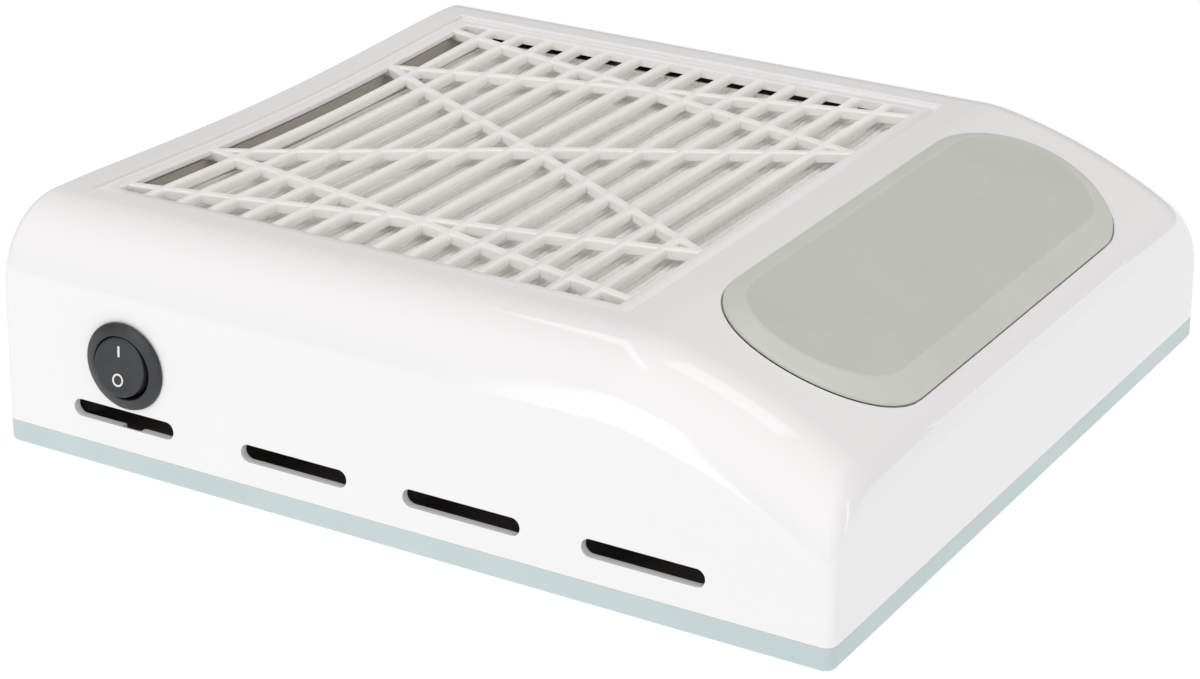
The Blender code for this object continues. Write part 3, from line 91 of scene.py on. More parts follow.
BRIGHTEST = (-0.377, -0.223, 0.899)  # from the object to the brightest part of the tent
tent = bpy.data.worlds.new("white tent")
tent.use_nodes = True
tent.node_tree.nodes["Background"].inputs["Color"].default_value = linear("FBFAF8")
direction = add(tent.node_tree, "ShaderNodeTexCoord")
facing = add(tent.node_tree, "ShaderNodeVectorMath", {
    0: direction.outputs["Generated"], 1: BRIGHTEST,
}, operation="DOT_PRODUCT")
glow = add(tent.node_tree, "ShaderNodeMapRange", {
    "Value": facing.outputs["Value"], "From Min": 0.3, "From Max": 1.0, "To Min": 0.32, "To Max": 1.25,
}, interpolation_type="SMOOTHSTEP")
tent.node_tree.links.new(glow.outputs["Result"], tent.node_tree.nodes["Background"].inputs["Strength"])
bpy.context.scene.world = tent
bpy.context.scene.view_settings.view_transform = "Standard"


AIM = Vector((0, 0, 0.04))  # the point that every soft box faces


def soft_box(name, place, width, height, power, turned=0.0):
    """A rectangular soft box that faces the object, turned about its own axis."""
    lamp = bpy.data.lights.new(name, "AREA")
    lamp.shape = "RECTANGLE"
    lamp.size = width
    lamp.size_y = height
    lamp.energy = power
    made = bpy.data.objects.new(name, lamp)
    made.location = place
    facing = (AIM - made.location).to_track_quat("-Z", "Y")
    made.rotation_euler = (facing @ Quaternion((0, 0, 1), math.radians(turned))).to_euler()
    bpy.context.scene.collection.objects.link(made)


soft_box("left_box", (-1.315, 0.416, 0.33), 0.46, 0.85, 2.8)
soft_box("corner_box", (0.33, -1.12, 0.27), 0.08, 0.5, 0.4)
soft_box("left_strip", (0.037, 0.397, 1.2), 0.87, 0.09, 0.42, 37)
soft_box("right_strip", (0.19, -0.14, 1.2), 0.46, 0.36, 0.68, 28)

# The camera stands to the left of the hand rest and looks down on the switch side.
LENS_YAW = math.radians(30.598)
LENS_PITCH = math.radians(23.363)
LENS_ROLL = math.radians(0.299)
FOOT_PROUD = 1.6 * MM
LENS_PLACE = (-0.61705, -0.35744, 0.32065 + FOOT_PROUD)

ahead = Vector((
    math.cos(LENS_YAW) * math.cos(LENS_PITCH),
    math.sin(LENS_YAW) * math.cos(LENS_PITCH),
    -math.sin(LENS_PITCH),
))
level = Vector((math.sin(LENS_YAW), -math.cos(LENS_YAW), 0))
upright = level.cross(ahead)
right = math.cos(LENS_ROLL) * level + math.sin(LENS_ROLL) * upright
upward = math.cos(LENS_ROLL) * upright - math.sin(LENS_ROLL) * level
turn = Matrix((right, upward, -ahead)).transposed().to_4x4()
lens = bpy.data.cameras.new("camera")
lens.lens = 91.374
lens.sensor_width = 36.0
lens.clip_start = 0.05
lens.clip_end = 20.0
camera = bpy.data.objects.new("camera", lens)
camera.matrix_world = Matrix.Translation(LENS_PLACE) @ turn
bpy.context.scene.collection.objects.link(camera)
bpy.context.scene.camera = camera

# ---------------------------------------------------------------- feet and base screws
# Four black rubber discs stuck in shallow seats, and zinc-plated self-tapping screws sunk in the base.


def grained(tree, shader, size, depth, detail=2.0):
    """Raises a fine moulded grain in the surface. Gives back the coordinates that it reads."""
    place = add(tree, "ShaderNodeTexCoord")
    grain = add(tree, "ShaderNodeTexNoise", {
        "Vector": place.outputs["Object"], "Scale": 1 / size, "Detail": detail, "Roughness": 0.5,
    })
    raised = add(tree, "ShaderNodeBump", {
        "Height": grain.outputs["Fac"], "Strength": 1.0, "Distance": depth,
    })
    tree.links.new(raised.outputs["Normal"], shader.inputs["Normal"])
    return place


def worn(tree, shader, place, low, high, size):
    """Lets the roughness wander between low and high over patches of the given size."""
    patches = add(tree, "ShaderNodeTexNoise", {
        "Vector": place.outputs["Object"], "Scale": 1 / size, "Detail": 3.0, "Roughness": 0.55,
    })
    spread = add(tree, "ShaderNodeMapRange", {
        "Value": patches.outputs["Fac"], "From Min": 0.35, "From Max": 0.65, "To Min": low, "To Max": high,
    })
    tree.links.new(spread.outputs["Result"], shader.inputs["Roughness"])


def tinted(tree, shader, place, first, second, size):
    """Lets the colour drift between two hex colours over patches of the given size."""
    patches = add(tree, "ShaderNodeTexNoise", {
        "Vector": place.outputs["Object"], "Scale": 1 / size, "Detail": 3.0, "Roughness": 0.55,
    })
    blend = add(tree, "ShaderNodeValToRGB", {"Fac": patches.outputs["Fac"]})
    blend.color_ramp.elements[0].position = 0.35
    blend.color_ramp.elements[1].position = 0.65
    blend.color_ramp.elements[0].color = linear(first)
    blend.color_ramp.elements[1].color = linear(second)
    tree.links.new(blend.outputs["Color"], shader.inputs["Base Color"])


# SBR rubber, moulded: dull, near black, with a little grey dust.
foot_rubber, tree, shader = finish("SBR rubber, moulded", "1E1E1F", 0.8, Specular_IOR_Level=0.35)
place = grained(tree, shader, 0.5 * MM, 0.03 * MM)
tinted(tree, shader, place, "1A1A1B", "2B2B2C", 6 * MM)

# Steel, zinc-plated: bright, slightly bluish, with a brushed haze from the barrel.
zinc, tree, shader = finish("steel, zinc-plated", "B9BBBE", 0.34, Metallic=1.0)
place = grained(tree, shader, 0.25 * MM, 0.006 * MM)
worn(tree, shader, place, 0.26, 0.46, 1.5 * MM)


def dress(material, *names):
    """Gives CAD nodes their material."""
    for name in names:
        node = nodes[name]
        node.data.materials.clear()
        node.data.materials.append(material)


ends = [f"{end}_{side}" for end in ("front", "back") for side in ("left", "right")]
dress(foot_rubber, *[f"foot_{end}" for end in ends])
dress(zinc, *[f"base_screw_{end}" for end in ends], *[f"tray_screw_{end}" for end in ends])

# ---------------------------------------------------------------- base plate
# A shallow tray moulded in pale blue-grey ABS. Its rim carries the housing, a tongue inside the rim
# centres it, and its inside is painted a matt grey.
WIDTH = 214.0 * MM
DEPTH = 226.0 * MM
BASE_BOTTOM = FOOT_PROUD
SEAM = BASE_BOTTOM + 6.0 * MM
FLOOR_TOP = BASE_BOTTOM + 2.2 * MM
CLEARANCE = 0.3 * MM
WALL = 2.4 * MM
CORNER_RADIUS = 2.8 * MM
TONGUE = 1.5 * MM
TONGUE_HEIGHT = 2.2 * MM
TONGUE_CORNER = 2.5 * MM
ROOM_CORNER = 1.5 * MM
BASE_EDGE = 1.2 * MM
SEAM_GAP = 0.05 * MM
SCREW_BORE = 1.4 * MM
SCREW_SEAT = 3.1 * MM
SCREW_SINK = 1.9 * MM
SCREW_MOUTH = 3.5 * MM
MOUTH_SINK = 0.4 * MM
FOOT_SEAT = 7.3 * MM
FOOT_SINK = 0.8 * MM
TOUCH = 0.01 * MM  # two places this close are the same
POSTS = [(x * 90 * MM, y) for x in (-1, 1) for y in (-98 * MM, 100 * MM)]
FEET = [(x * 86 * MM, y * 84 * MM) for x in (-1, 1) for y in (-1, 1)]


def block(bm, low, high):
    """A box between two corners."""
    made = bmesh.ops.create_cube(bm, size=1)["verts"]
    bmesh.ops.scale(bm, vec=Vector(high) - Vector(low), verts=made)
    bmesh.ops.translate(bm, vec=(Vector(low) + Vector(high)) / 2, verts=made)
    return made


def rod(bm, centre, radius, bottom, top, segments=32, top_radius=None):
    """An upright cylinder or cone."""
    made = bmesh.ops.create_cone(
        bm, cap_ends=True, segments=segments, radius1=radius,
        radius2=radius if top_radius is None else top_radius, depth=top - bottom,
    )["verts"]
    bmesh.ops.translate(bm, vec=(centre[0], centre[1], (bottom + top) / 2), verts=made)
    return made


def along(bm, axis):
    """The edges that run along an axis."""
    return [e for e in bm.edges if abs((e.verts[0].co - e.verts[1].co).normalized()[axis]) > 0.99]


def rounded(bm, edges, radius, segments):
    bmesh.ops.bevel(
        bm, geom=edges, offset=radius, segments=segments, profile=0.5, affect="EDGES",
        offset_type="OFFSET", material=-1,
    )


def lined(bm, number):
    """Gives every face of a solid the piece's material of this number."""
    for face in bm.faces:
        face.material_index = number
    return bm


def slab(low, high, radius, segments=6):
    """A box with rounded upright edges."""
    bm = bmesh.new()
    block(bm, low, high)
    rounded(bm, along(bm, 2), radius, segments)
    return bm


def modified(bm, kind, **settings):
    """The mesh as it comes out of one modifier."""
    mesh = bpy.data.meshes.new("working")
    bm.to_mesh(mesh)
    bm.free()
    working = bpy.data.objects.new("working", mesh)
    bpy.context.scene.collection.objects.link(working)
    step = working.modifiers.new("step", kind)
    for name, value in settings.items():
        setattr(step, name, value)
    result = bmesh.new()
    result.from_object(working, bpy.context.evaluated_depsgraph_get())
    bpy.data.objects.remove(working)
    bpy.data.meshes.remove(mesh)
    return result


def carved(bm, tool, operation="DIFFERENCE", crossing=False):
    """The solid bm cut by the solid tool, or joined with it."""
    mesh = bpy.data.meshes.new("tool")
    tool.to_mesh(mesh)
    tool.free()
    held = bpy.data.objects.new("tool", mesh)
    bpy.context.scene.collection.objects.link(held)
    result = modified(bm, "BOOLEAN", operation=operation, solver="EXACT", use_self=crossing, object=held)
    bpy.data.objects.remove(held)
    bpy.data.meshes.remove(mesh)
    return result


def piece(name, bm, body, stands_for, slot, *materials, sharp=32.0):
    """Turns a finished bmesh into a piece of the collector."""
    mesh = bpy.data.meshes.new(name)
    bm.to_mesh(mesh)
    bm.free()
    mesh.shade_smooth()
    mesh.set_sharp_from_angle(angle=math.radians(sharp))
    for material in materials:
        mesh.materials.append(material)
    made = bpy.data.objects.new(name, mesh)
    bpy.context.scene.collection.objects.link(made)
    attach(made, body)
    if stands_for:
        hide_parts(stands_for)
    return made


# ABS, moulded, pale blue-grey: an even satin with the faint grain of the mould.
base_abs, tree, shader = finish("ABS, moulded, pale blue-grey", "C3D2D4", 0.36, IOR=1.53)
place = grained(tree, shader, 0.6 * MM, 0.01 * MM)
tinted(tree, shader, place, "C1D0D2", "C7D5D6", 30 * MM)

# ABS, painted matt grey inside: the vents let in so little light that it looks nearly black.
grey_inside, tree, shader = finish("ABS, painted matt grey", "9C9694", 0.85, Specular_IOR_Level=0.2)
grained(tree, shader, 0.8 * MM, 0.05 * MM)

bm = slab((-WIDTH / 2, -DEPTH / 2, BASE_BOTTOM), (WIDTH / 2, DEPTH / 2, SEAM - SEAM_GAP), CORNER_RADIUS, 8)
lower = [e for e in bm.edges if all(v.co.z < BASE_BOTTOM + TOUCH for v in e.verts)]
rounded(bm, lower, BASE_EDGE, 5)
tongue_x, tongue_y = WIDTH / 2 - WALL - CLEARANCE, DEPTH / 2 - WALL - CLEARANCE
tongue_top = SEAM + TONGUE_HEIGHT
tongue = slab((-tongue_x, -tongue_y, FLOOR_TOP - MM), (tongue_x, tongue_y, tongue_top), TONGUE_CORNER)
bm = carved(bm, lined(tongue, 1), "UNION")
room_x, room_y = tongue_x - TONGUE, tongue_y - TONGUE
room = slab((-room_x, -room_y, FLOOR_TOP), (room_x, room_y, tongue_top + TONGUE_HEIGHT), ROOM_CORNER)
bm = carved(bm, lined(room, 1))
seats = bmesh.new()
for spot in POSTS:
    rod(seats, spot, SCREW_BORE, BASE_BOTTOM - MM, SEAM + MM)
    rod(seats, spot, SCREW_SEAT, BASE_BOTTOM - 2 * MM, BASE_BOTTOM + SCREW_SINK)
    rod(seats, spot, SCREW_MOUTH, BASE_BOTTOM - MOUTH_SINK, BASE_BOTTOM + MOUTH_SINK, top_radius=SCREW_SEAT)
for spot in FEET:
    rod(seats, spot, FOOT_SEAT, BASE_BOTTOM - MM, BASE_BOTTOM + FOOT_SINK, 48)
bm = carved(bm, seats, crossing=True)
piece("base_shell", bm, "housing", "base_plate", "blue_grey", base_abs, grey_inside)

# ---------------------------------------------------------------- motor, fan and tray
# An outer-rotor motor stands on the base and turns a black impeller; the tray above it carries the
# filter and has the fan's inlet with its guard.

# Nylon with glass fibre, moulded: dull, with a fine speckle.
fan_nylon, tree, shader = finish("glass-filled nylon, moulded", "1D1E20", 0.55)
place = grained(tree, shader, 0.4 * MM, 0.02 * MM)
tinted(tree, shader, place, "1A1B1D", "24262A", 2 * MM)
dress(fan_nylon, "fan_impeller", "fan_guard", "fan_tray")

# Ferrite, sintered: dark grey with a matt crystalline grain.
ferrite, tree, shader = finish("ferrite, sintered", "2B2B2D", 0.7)
grained(tree, shader, 0.3 * MM, 0.02 * MM)
dress(ferrite, "rotor_magnet")

# Enamelled copper: the turns of wire lie side by side as fine ridges.
copper, tree, shader = finish("copper wire, enamelled", "B5683A", 0.35, Metallic=1.0)
place = add(tree, "ShaderNodeTexCoord")
TURN = 0.5 * MM
turns = add(tree, "ShaderNodeTexWave", {
    "Vector": place.outputs["Object"], "Scale": 1 / (math.tau * TURN), "Distortion": 0.4,
}, bands_direction="Z")
ridges = add(tree, "ShaderNodeBump", {"Height": turns.outputs["Fac"], "Distance": 0.1 * MM})
tree.links.new(ridges.outputs["Normal"], shader.inputs["Normal"])
dress(copper, "stator_winding_lower", "stator_winding_upper")

# Brass, turned: warm, with the haze of the lathe.
brass, tree, shader = finish("brass, turned", "C9A45C", 0.32, Metallic=1.0)
place = grained(tree, shader, 0.3 * MM, 0.008 * MM)
worn(tree, shader, place, 0.25, 0.42, 2 * MM)
dress(brass, "fan_bearing_lower", "fan_bearing_upper", "switch_terminal_1", "switch_terminal_2")
dress(zinc, "motor_mount", *[f"motor_screw_{number}" for number in (1, 2, 3)])
dress(zinc, "stator_core", "rotor_cup", "fan_shaft")

# Closed-cell foam, die-cut: black and dull, with open cells on its cut sides.
foam, tree, shader = finish("EVA foam, die-cut", "17171A", 0.95, Specular_IOR_Level=0.1)
place = add(tree, "ShaderNodeTexCoord")
cells = add(tree, "ShaderNodeTexVoronoi", {"Vector": place.outputs["Object"], "Scale": 1 / (0.7 * MM)})
pits = add(tree, "ShaderNodeBump", {"Height": cells.outputs["Distance"], "Distance": 0.2 * MM})
tree.links.new(pits.outputs["Normal"], shader.inputs["Normal"])
dress(foam, "filter_seal")

# ---------------------------------------------------------------- board, socket and leads
# A green control board behind the fan, a black barrel socket in the back wall, and PVC leads.

# Glass-fibre laminate under green lacquer, with paler tracks.
laminate, tree, shader = finish("glass-fibre laminate, lacquered", "1C5B34", 0.38)
place = add(tree, "ShaderNodeTexCoord")
tracks = add(tree, "ShaderNodeTexBrick", {
    "Vector": place.outputs["Object"], "Color1": linear("1C5B34"), "Color2": linear("236B3F"),
    "Mortar": linear("17492B"), "Scale": 1 / (8 * MM), "Mortar Size": 0.03,
})
tree.links.new(tracks.outputs["Color"], shader.inputs["Base Color"])
dress(laminate, "control_board", "motor_board")
dress(zinc, "board_screw_left", "board_screw_right", "socket_nut")


def sleeve(name, colour, *names):
    """PVC sleeve, extruded: a soft gloss with faint drawing lines."""
    material, tree, shader = finish(name, colour, 0.42)
    grained(tree, shader, 0.8 * MM, 0.02 * MM)
    dress(material, *names)


sleeve("PVC sleeve, red", "A32222", "wire_live", "wire_motor")
sleeve("PVC sleeve, black", "1C1C1E", "wire_socket", "wire_ground")

# ---------------------------------------------------------------- rocker switch
# A round snap-in switch in the left wall: a sloping bezel with a sunk ring, and a rocker that
# tips about a front-to-back axis. It is moulded in black nylon and its I and O are printed white.
TILT = math.radians(0.9)
SWITCH_Y = 74.8 * MM
SWITCH_Z = BASE_BOTTOM + 28.4 * MM
SWITCH_FACE = -WIDTH / 2 + math.tan(TILT) * (SWITCH_Z - SEAM)
BEZEL_PROUD = 1.8 * MM
BEZEL_LIP = 0.35 * MM
BEZEL_MOUTH = 8.0 * MM
BEZEL_RADIUS = 11.1 * MM
BARREL_RADIUS = 9.8 * MM
BARREL_DEPTH = 14.0 * MM
BARREL_FLOOR = 1.2 * MM
ROCKER_RADIUS = 7.35 * MM
ROCKER_PIVOT = 3.0 * MM
ROCKER_TILT = math.radians(8.0)
ROCKER_DISH = 0.45 * MM
ROCKER_EDGE = 0.3 * MM
MARK_SIDE = 0.35 * MM  # how far the printing sits off the middle of the rocker
BAR_LOW, BAR_HIGH, BAR_HALF = 2.4 * MM, 5.2 * MM, 0.3 * MM
RING_MIDDLE, RING_INNER, RING_OUTER = -3.3 * MM, 1.15 * MM, 1.6 * MM
INK = 0.06 * MM
INK_SINK = 0.02 * MM

# Nylon, moulded, black: a soft sheen over a fine even grain.
switch_nylon, tree, shader = finish("nylon, moulded, black", "26282C", 0.38, IOR=1.53)
place = grained(tree, shader, 0.35 * MM, 0.02 * MM)
tinted(tree, shader, place, "24262A", "2B2D31", 4 * MM)

# White pad-printing ink: thin, matt and slightly uneven.
print_white, tree, shader = finish("printing ink, white", "EDEDEB", 0.5)
grained(tree, shader, 0.3 * MM, 0.005 * MM)


def spun(profile, steps=96):
    """A closed outline of (radius, height) points turned about Z."""
    bm = bmesh.new()
    verts = [bm.verts.new((radius, 0, height)) for radius, height in profile]
    edges = [bm.edges.new(pair) for pair in zip(verts, verts[1:])]
    bmesh.ops.spin(
        bm, geom=verts + edges, cent=(0, 0, 0), axis=(0, 0, 1), angle=math.tau, steps=steps,
        use_merge=True,
    )
    bmesh.ops.remove_doubles(bm, verts=bm.verts[:], dist=0.000002)
    bmesh.ops.recalc_face_normals(bm, faces=bm.faces[:])
    return bm


def arc(centre, radius, start, end, steps):
    """Points along an arc in the (radius, height) plane, angles in degrees."""
    return [
        (centre[0] + radius * math.cos(math.radians(start + (end - start) * i / steps)),
         centre[1] + radius * math.sin(math.radians(start + (end - start) * i / steps)))
        for i in range(steps + 1)
    ]


back = -WALL - BARREL_DEPTH
floor_height = back + BARREL_FLOOR
profile = [(0, floor_height), (BEZEL_MOUTH, floor_height), (BEZEL_MOUTH, BEZEL_PROUD - BEZEL_LIP)]
profile += arc((BEZEL_MOUTH + BEZEL_LIP, BEZEL_PROUD - BEZEL_LIP), BEZEL_LIP, 180, 75, 5)
profile += arc((BEZEL_RADIUS - 0.55 * MM, 0.62 * MM), 0.45 * MM, 68, 0, 5)
profile += [(BEZEL_RADIUS, CLEARANCE), (BARREL_RADIUS, CLEARANCE), (BARREL_RADIUS, back), (0, back)]
bm = spun(profile)
outward = Matrix.Translation((SWITCH_FACE, SWITCH_Y, SWITCH_Z)) @ Matrix.Rotation(-math.pi / 2, 4, "Y")
bm.transform(outward)
piece("switch_bezel", bm, "housing", "switch_body", "black_plastic", switch_nylon)

crown = ROCKER_PIVOT + 0.5 * MM
foot = ROCKER_PIVOT - 6.8 * MM
shares = [0.94 * i / 10 for i in range(11)]
profile = [(ROCKER_RADIUS * share, crown + ROCKER_DISH * share**2) for share in shares]
profile += arc((ROCKER_RADIUS - ROCKER_EDGE, ROCKER_PIVOT + 0.53 * MM), ROCKER_EDGE, 80, 0, 5)
profile += [(ROCKER_RADIUS, foot + 1.6 * MM), (ROCKER_RADIUS - 2.4 * MM, foot), (0, foot)]
bm = spun(profile)
pivot = Vector((SWITCH_FACE - BEZEL_PROUD + ROCKER_PIVOT, SWITCH_Y, SWITCH_Z))
tipped = Matrix.Translation(pivot) @ Matrix.Rotation(-math.pi / 2 + ROCKER_TILT, 4, "Y")
bm.transform(tipped)
piece("switch_rocker_face", bm, "rocker", "switch_rocker", "black_plastic", switch_nylon)


def mark(name, bm):
    """A printed mark, laid a little off the middle of the dished face. X is up the face."""
    for vert in bm.verts:
        away = math.hypot(vert.co.x, vert.co.y) / ROCKER_RADIUS
        vert.co.z += crown + ROCKER_DISH * away**2 - INK_SINK
        vert.co.y += MARK_SIDE
    bm.transform(tipped)
    piece(name, bm, "rocker", None, "black_plastic", print_white)


bm = slab((BAR_LOW, -BAR_HALF, 0), (BAR_HIGH, BAR_HALF, INK), 0.9 * BAR_HALF, 4)
mark("rocker_mark_on", bm)
ring = [(RING_INNER, 0), (RING_OUTER, 0), (RING_OUTER, INK), (RING_INNER, INK), (RING_INNER, 0)]
bm = spun(ring, 48)
bmesh.ops.translate(bm, vec=(RING_MIDDLE, 0, 0), verts=bm.verts[:])
mark("rocker_mark_off", bm)

# ---------------------------------------------------------------- power socket
# A barrel socket for the adapter's plug, in the back wall, with a flange outside and a nut inside.

# ABS, moulded, black: the finish of small connectors.
socket_abs, tree, shader = finish("ABS, moulded, black", "1F2022", 0.38)
grained(tree, shader, 0.4 * MM, 0.01 * MM)
dress(socket_abs, "power_socket")

# ---------------------------------------------------------------- upper housing
# One shell of glossy white ABS from a polished mould: leaning walls, a wide round along each side
# that runs on down the slope, a shallow dish at the back of the deck, a recess for the grille.
HALF_WIDTH = WIDTH / 2
HALF_DEPTH = DEPTH / 2
DECK = BASE_BOTTOM + 60.3 * MM
SIDE_RADIUS = 19.2 * MM
FRONT_RADIUS = 5.8 * MM
SHOULDER = DECK - SIDE_RADIUS
SLOPE_EDGE = -HALF_DEPTH + 58.2 * MM
SLOPE_START = math.radians(11.4)
SLOPE_BREAK_RADIUS = 35.0 * MM
SLOPE_RADIUS = 150.0 * MM
SOFT = SLOPE_BREAK_RADIUS * math.sin(SLOPE_START)
DISH_DEPTH = 2.3 * MM
DISH_LENGTH = 100.0 * MM
RECESS_X = 82.3 * MM
RECESS_FRONT = -48.1 * MM
RECESS_BACK = 102.8 * MM
LEDGE = 3.0 * MM
GRILLE_TOP = DECK - 0.8 * MM
GRILLE_BOTTOM = GRILLE_TOP - 2.5 * MM
LEDGE_TOP = GRILLE_BOTTOM - CLEARANCE
WELL_BOTTOM = DECK - 11.9 * MM
PAD_FRONT = -HALF_DEPTH + 5.8 * MM
PAD_WIDTH = 47.8 * MM
PAD_LENGTH = 153.8 * MM
PAD_MIDDLE = PAD_FRONT + PAD_WIDTH / 2
PAD_POCKET = 1.4 * MM
VENTS = (  # the middle and the length of each vent
    (76.3 * MM, 30.0 * MM), (26.5 * MM, 30.0 * MM), (-19.6 * MM, 31.4 * MM), (-66.7 * MM, 31.1 * MM),
)
VENT_Z = BASE_BOTTOM + 14.27 * MM
VENT_HALF = 2.24 * MM
VENT_ROUND = 2.2 * MM
VENT_WALL = 2.2 * MM  # the wall is thinned to this behind the vents, over HOLLOW_LENGTH and HOLLOW_HEIGHT
HOLLOW_LENGTH = 35.0 * MM
HOLLOW_HEIGHT = 9.0 * MM
NOTCH_Y = VENTS[0][0] - 2.0 * MM
NOTCH_HALF = 2.8 * MM
NOTCH_DEPTH = 3.3 * MM
NOTCH_SKIN = 0.5 * MM  # left in front of the notch, which opens inwards
RIM_EDGE = 0.3 * MM
SWITCH_HOLE = 10.1 * MM
SOCKET_HOLE = 4.3 * MM
SOCKET_PLACE = (-48 * MM, HALF_DEPTH, BASE_BOTTOM + 19 * MM)
TRAY_TOP = 40.5 * MM
TRAY_SCREWS = [(x * 90 * MM, y) for x in (-1, 1) for y in (-36 * MM, 52 * MM)]
POST_RADIUS = 4 * MM
PILOT_RADIUS = 1.3 * MM
PILOT_DEPTH = 12 * MM


def slope_drop(y):
    """How far the top lies below the deck: level, a soft break, then one long arc to the front."""
    run = SLOPE_EDGE - y
    if run <= 0:
        return 0.0
    near = min(run, SOFT)
    drop = SLOPE_BREAK_RADIUS - math.sqrt(SLOPE_BREAK_RADIUS**2 - near**2)
    if run > SOFT:
        sine = math.sin(SLOPE_START) + (run - SOFT) / SLOPE_RADIUS
        drop += SLOPE_RADIUS * (math.cos(SLOPE_START) - math.sqrt(1 - sine**2))
    return drop


def dish_drop(x, y):
    """The shallow dish in the back of the deck, deepest in the middle of the back edge."""
    across = max(0.0, 1 - (x / RECESS_X) ** 2) ** 1.5
    run = min(1.0, max(0.0, (y - HALF_DEPTH + DISH_LENGTH) / DISH_LENGTH))
    return DISH_DEPTH * across * run * run * (3 - 2 * run)


def lean_share(place, free, full):
    """How much of the wall's lean a place takes: none inside free, all of it from full outwards."""
    share = (abs(place) - free) / (full - free)
    return math.copysign(min(1.0, max(0.0, share)), place)


def formed(point, leaning=True):
    """Takes a point of the square-cut body to its real place: slope, dish and leaning walls."""
    x, y, z = point
    drop = slope_drop(y)
    if z >= SHOULDER:
        new_z = z - drop - dish_drop(x, y) * min(1.0, (z - SHOULDER) / (WELL_BOTTOM - SHOULDER))
    else:
        new_z = SEAM + (z - SEAM) * (SHOULDER - drop - SEAM) / (SHOULDER - SEAM)
    if not leaning:
        return Vector((x, y, new_z))
    lean = math.tan(TILT) * max(0.0, new_z - SEAM)
    new_x = x - lean * lean_share(x, RECESS_X + CLEARANCE, HALF_WIDTH - SIDE_RADIUS)
    new_y = y - lean * lean_share(y, RECESS_BACK + CLEARANCE, HALF_DEPTH - CORNER_RADIUS)
    return Vector((new_x, new_y, new_z))


def crossed(bm, places, axis, behind=-HALF_DEPTH):
    """Cuts the faces behind a line along planes, so that they can follow a curve."""
    normal = Vector([float(i == axis) for i in range(3)])
    for place in places:
        faces = [f for f in bm.faces if min(v.co.y for v in f.verts) > behind - MM]
        edges = {e for f in faces for e in f.edges}
        verts = {v for f in faces for v in f.verts}
        bmesh.ops.bisect_plane(
            bm, geom=[*verts, *edges, *faces], dist=0.00001, plane_co=normal * place, plane_no=normal,
        )


def form(bm, slope=2.0 * MM, dish=6.0 * MM):
    """Cuts a square-cut mesh finely and gives it the form of the deck."""
    if slope:
        count = int((SLOPE_EDGE + HALF_DEPTH) / slope)
        crossed(bm, [SLOPE_EDGE - slope * i for i in range(count)], 1)
    if dish:
        crossed(bm, [HALF_DEPTH - dish * i for i in range(1, int(DISH_LENGTH / dish) + 1)], 1)
        crossed(bm, [RECESS_X * i / 12 for i in range(-12, 13)], 0, HALF_DEPTH - DISH_LENGTH)
    bmesh.ops.triangulate(bm, faces=[f for f in bm.faces if len(f.verts) > 4])
    for vert in bm.verts:
        vert.co = formed(vert.co)
    bm.normal_update()


def stadium(length, width, bottom, top, centre_y, segments=16):
    """A plate with half-round ends, in line with X."""
    bm = bmesh.new()
    block(bm, (-length / 2, centre_y - width / 2, bottom), (length / 2, centre_y + width / 2, top))
    rounded(bm, along(bm, 2), width / 2 - 2 * TOUCH, segments)
    return bm


# ABS, moulded in a polished mould, white: bright gloss with a faint ripple where it shrank.
white_gloss, tree, shader = finish("ABS, moulded, white gloss", "F5F4F5", 0.08, IOR=1.53)
place = grained(tree, shader, 9 * MM, 0.012 * MM, detail=1.0)
worn(tree, shader, place, 0.06, 0.1, 25 * MM)

# ABS, moulded, left rough: the same plastic on the inside, where the mould isn't polished, in a darker warm
# grey that is painted shade on the walls of the grille's well.
rough_inside_painted_shade, tree, shader = finish("ABS, moulded, left rough, painted warm shade", "E2DBD2", 0.7)
grained(tree, shader, 0.6 * MM, 0.04 * MM)


def body_block(inset, bottom, segments):
    """The square-cut body, smaller by the inset all round: an arch in section, with rounded ends."""
    bm = bmesh.new()
    end = HALF_DEPTH - inset
    block(bm, (inset - HALF_WIDTH, -end, bottom), (HALF_WIDTH - inset, end, DECK - inset))
    rounded(bm, [e for e in along(bm, 1) if e.verts[0].co.z > SHOULDER], SIDE_RADIUS - inset, 2 * segments)
    bm.normal_update()
    for cap in [f for f in bm.faces if abs(f.normal.y) > 0.9]:
        sign = math.copysign(1, cap.normal.y)
        arch = []
        for vert in cap.verts:
            x, y, z = vert.co
            out = Vector((max(0, abs(x) - HALF_WIDTH + SIDE_RADIUS), 0, max(0, z - SHOULDER))).normalized()
            radius = CORNER_RADIUS - inset
            if sign < 0:
                radius += (FRONT_RADIUS - CORNER_RADIUS) * out.z**2
            arch.append((vert.co.copy(), Vector((math.copysign(out.x, x), 0, out.z)), radius))
        for step in range(segments + 1):
            turn = math.pi / 2 * step / segments
            if step:
                bmesh.ops.inset_region(bm, faces=[cap], thickness=0)
            for vert, (start, out, radius) in zip(cap.verts, arch):
                vert.co = start - out * radius * (1 - math.cos(turn))
                vert.co.y = sign * (end - radius * (1 - math.sin(turn)))
    bmesh.ops.recalc_face_normals(bm, faces=bm.faces[:])
    return bm


bm = body_block(0.0, SEAM, 12)
bm = carved(bm, lined(body_block(WALL, SEAM - WALL, 5), 1))

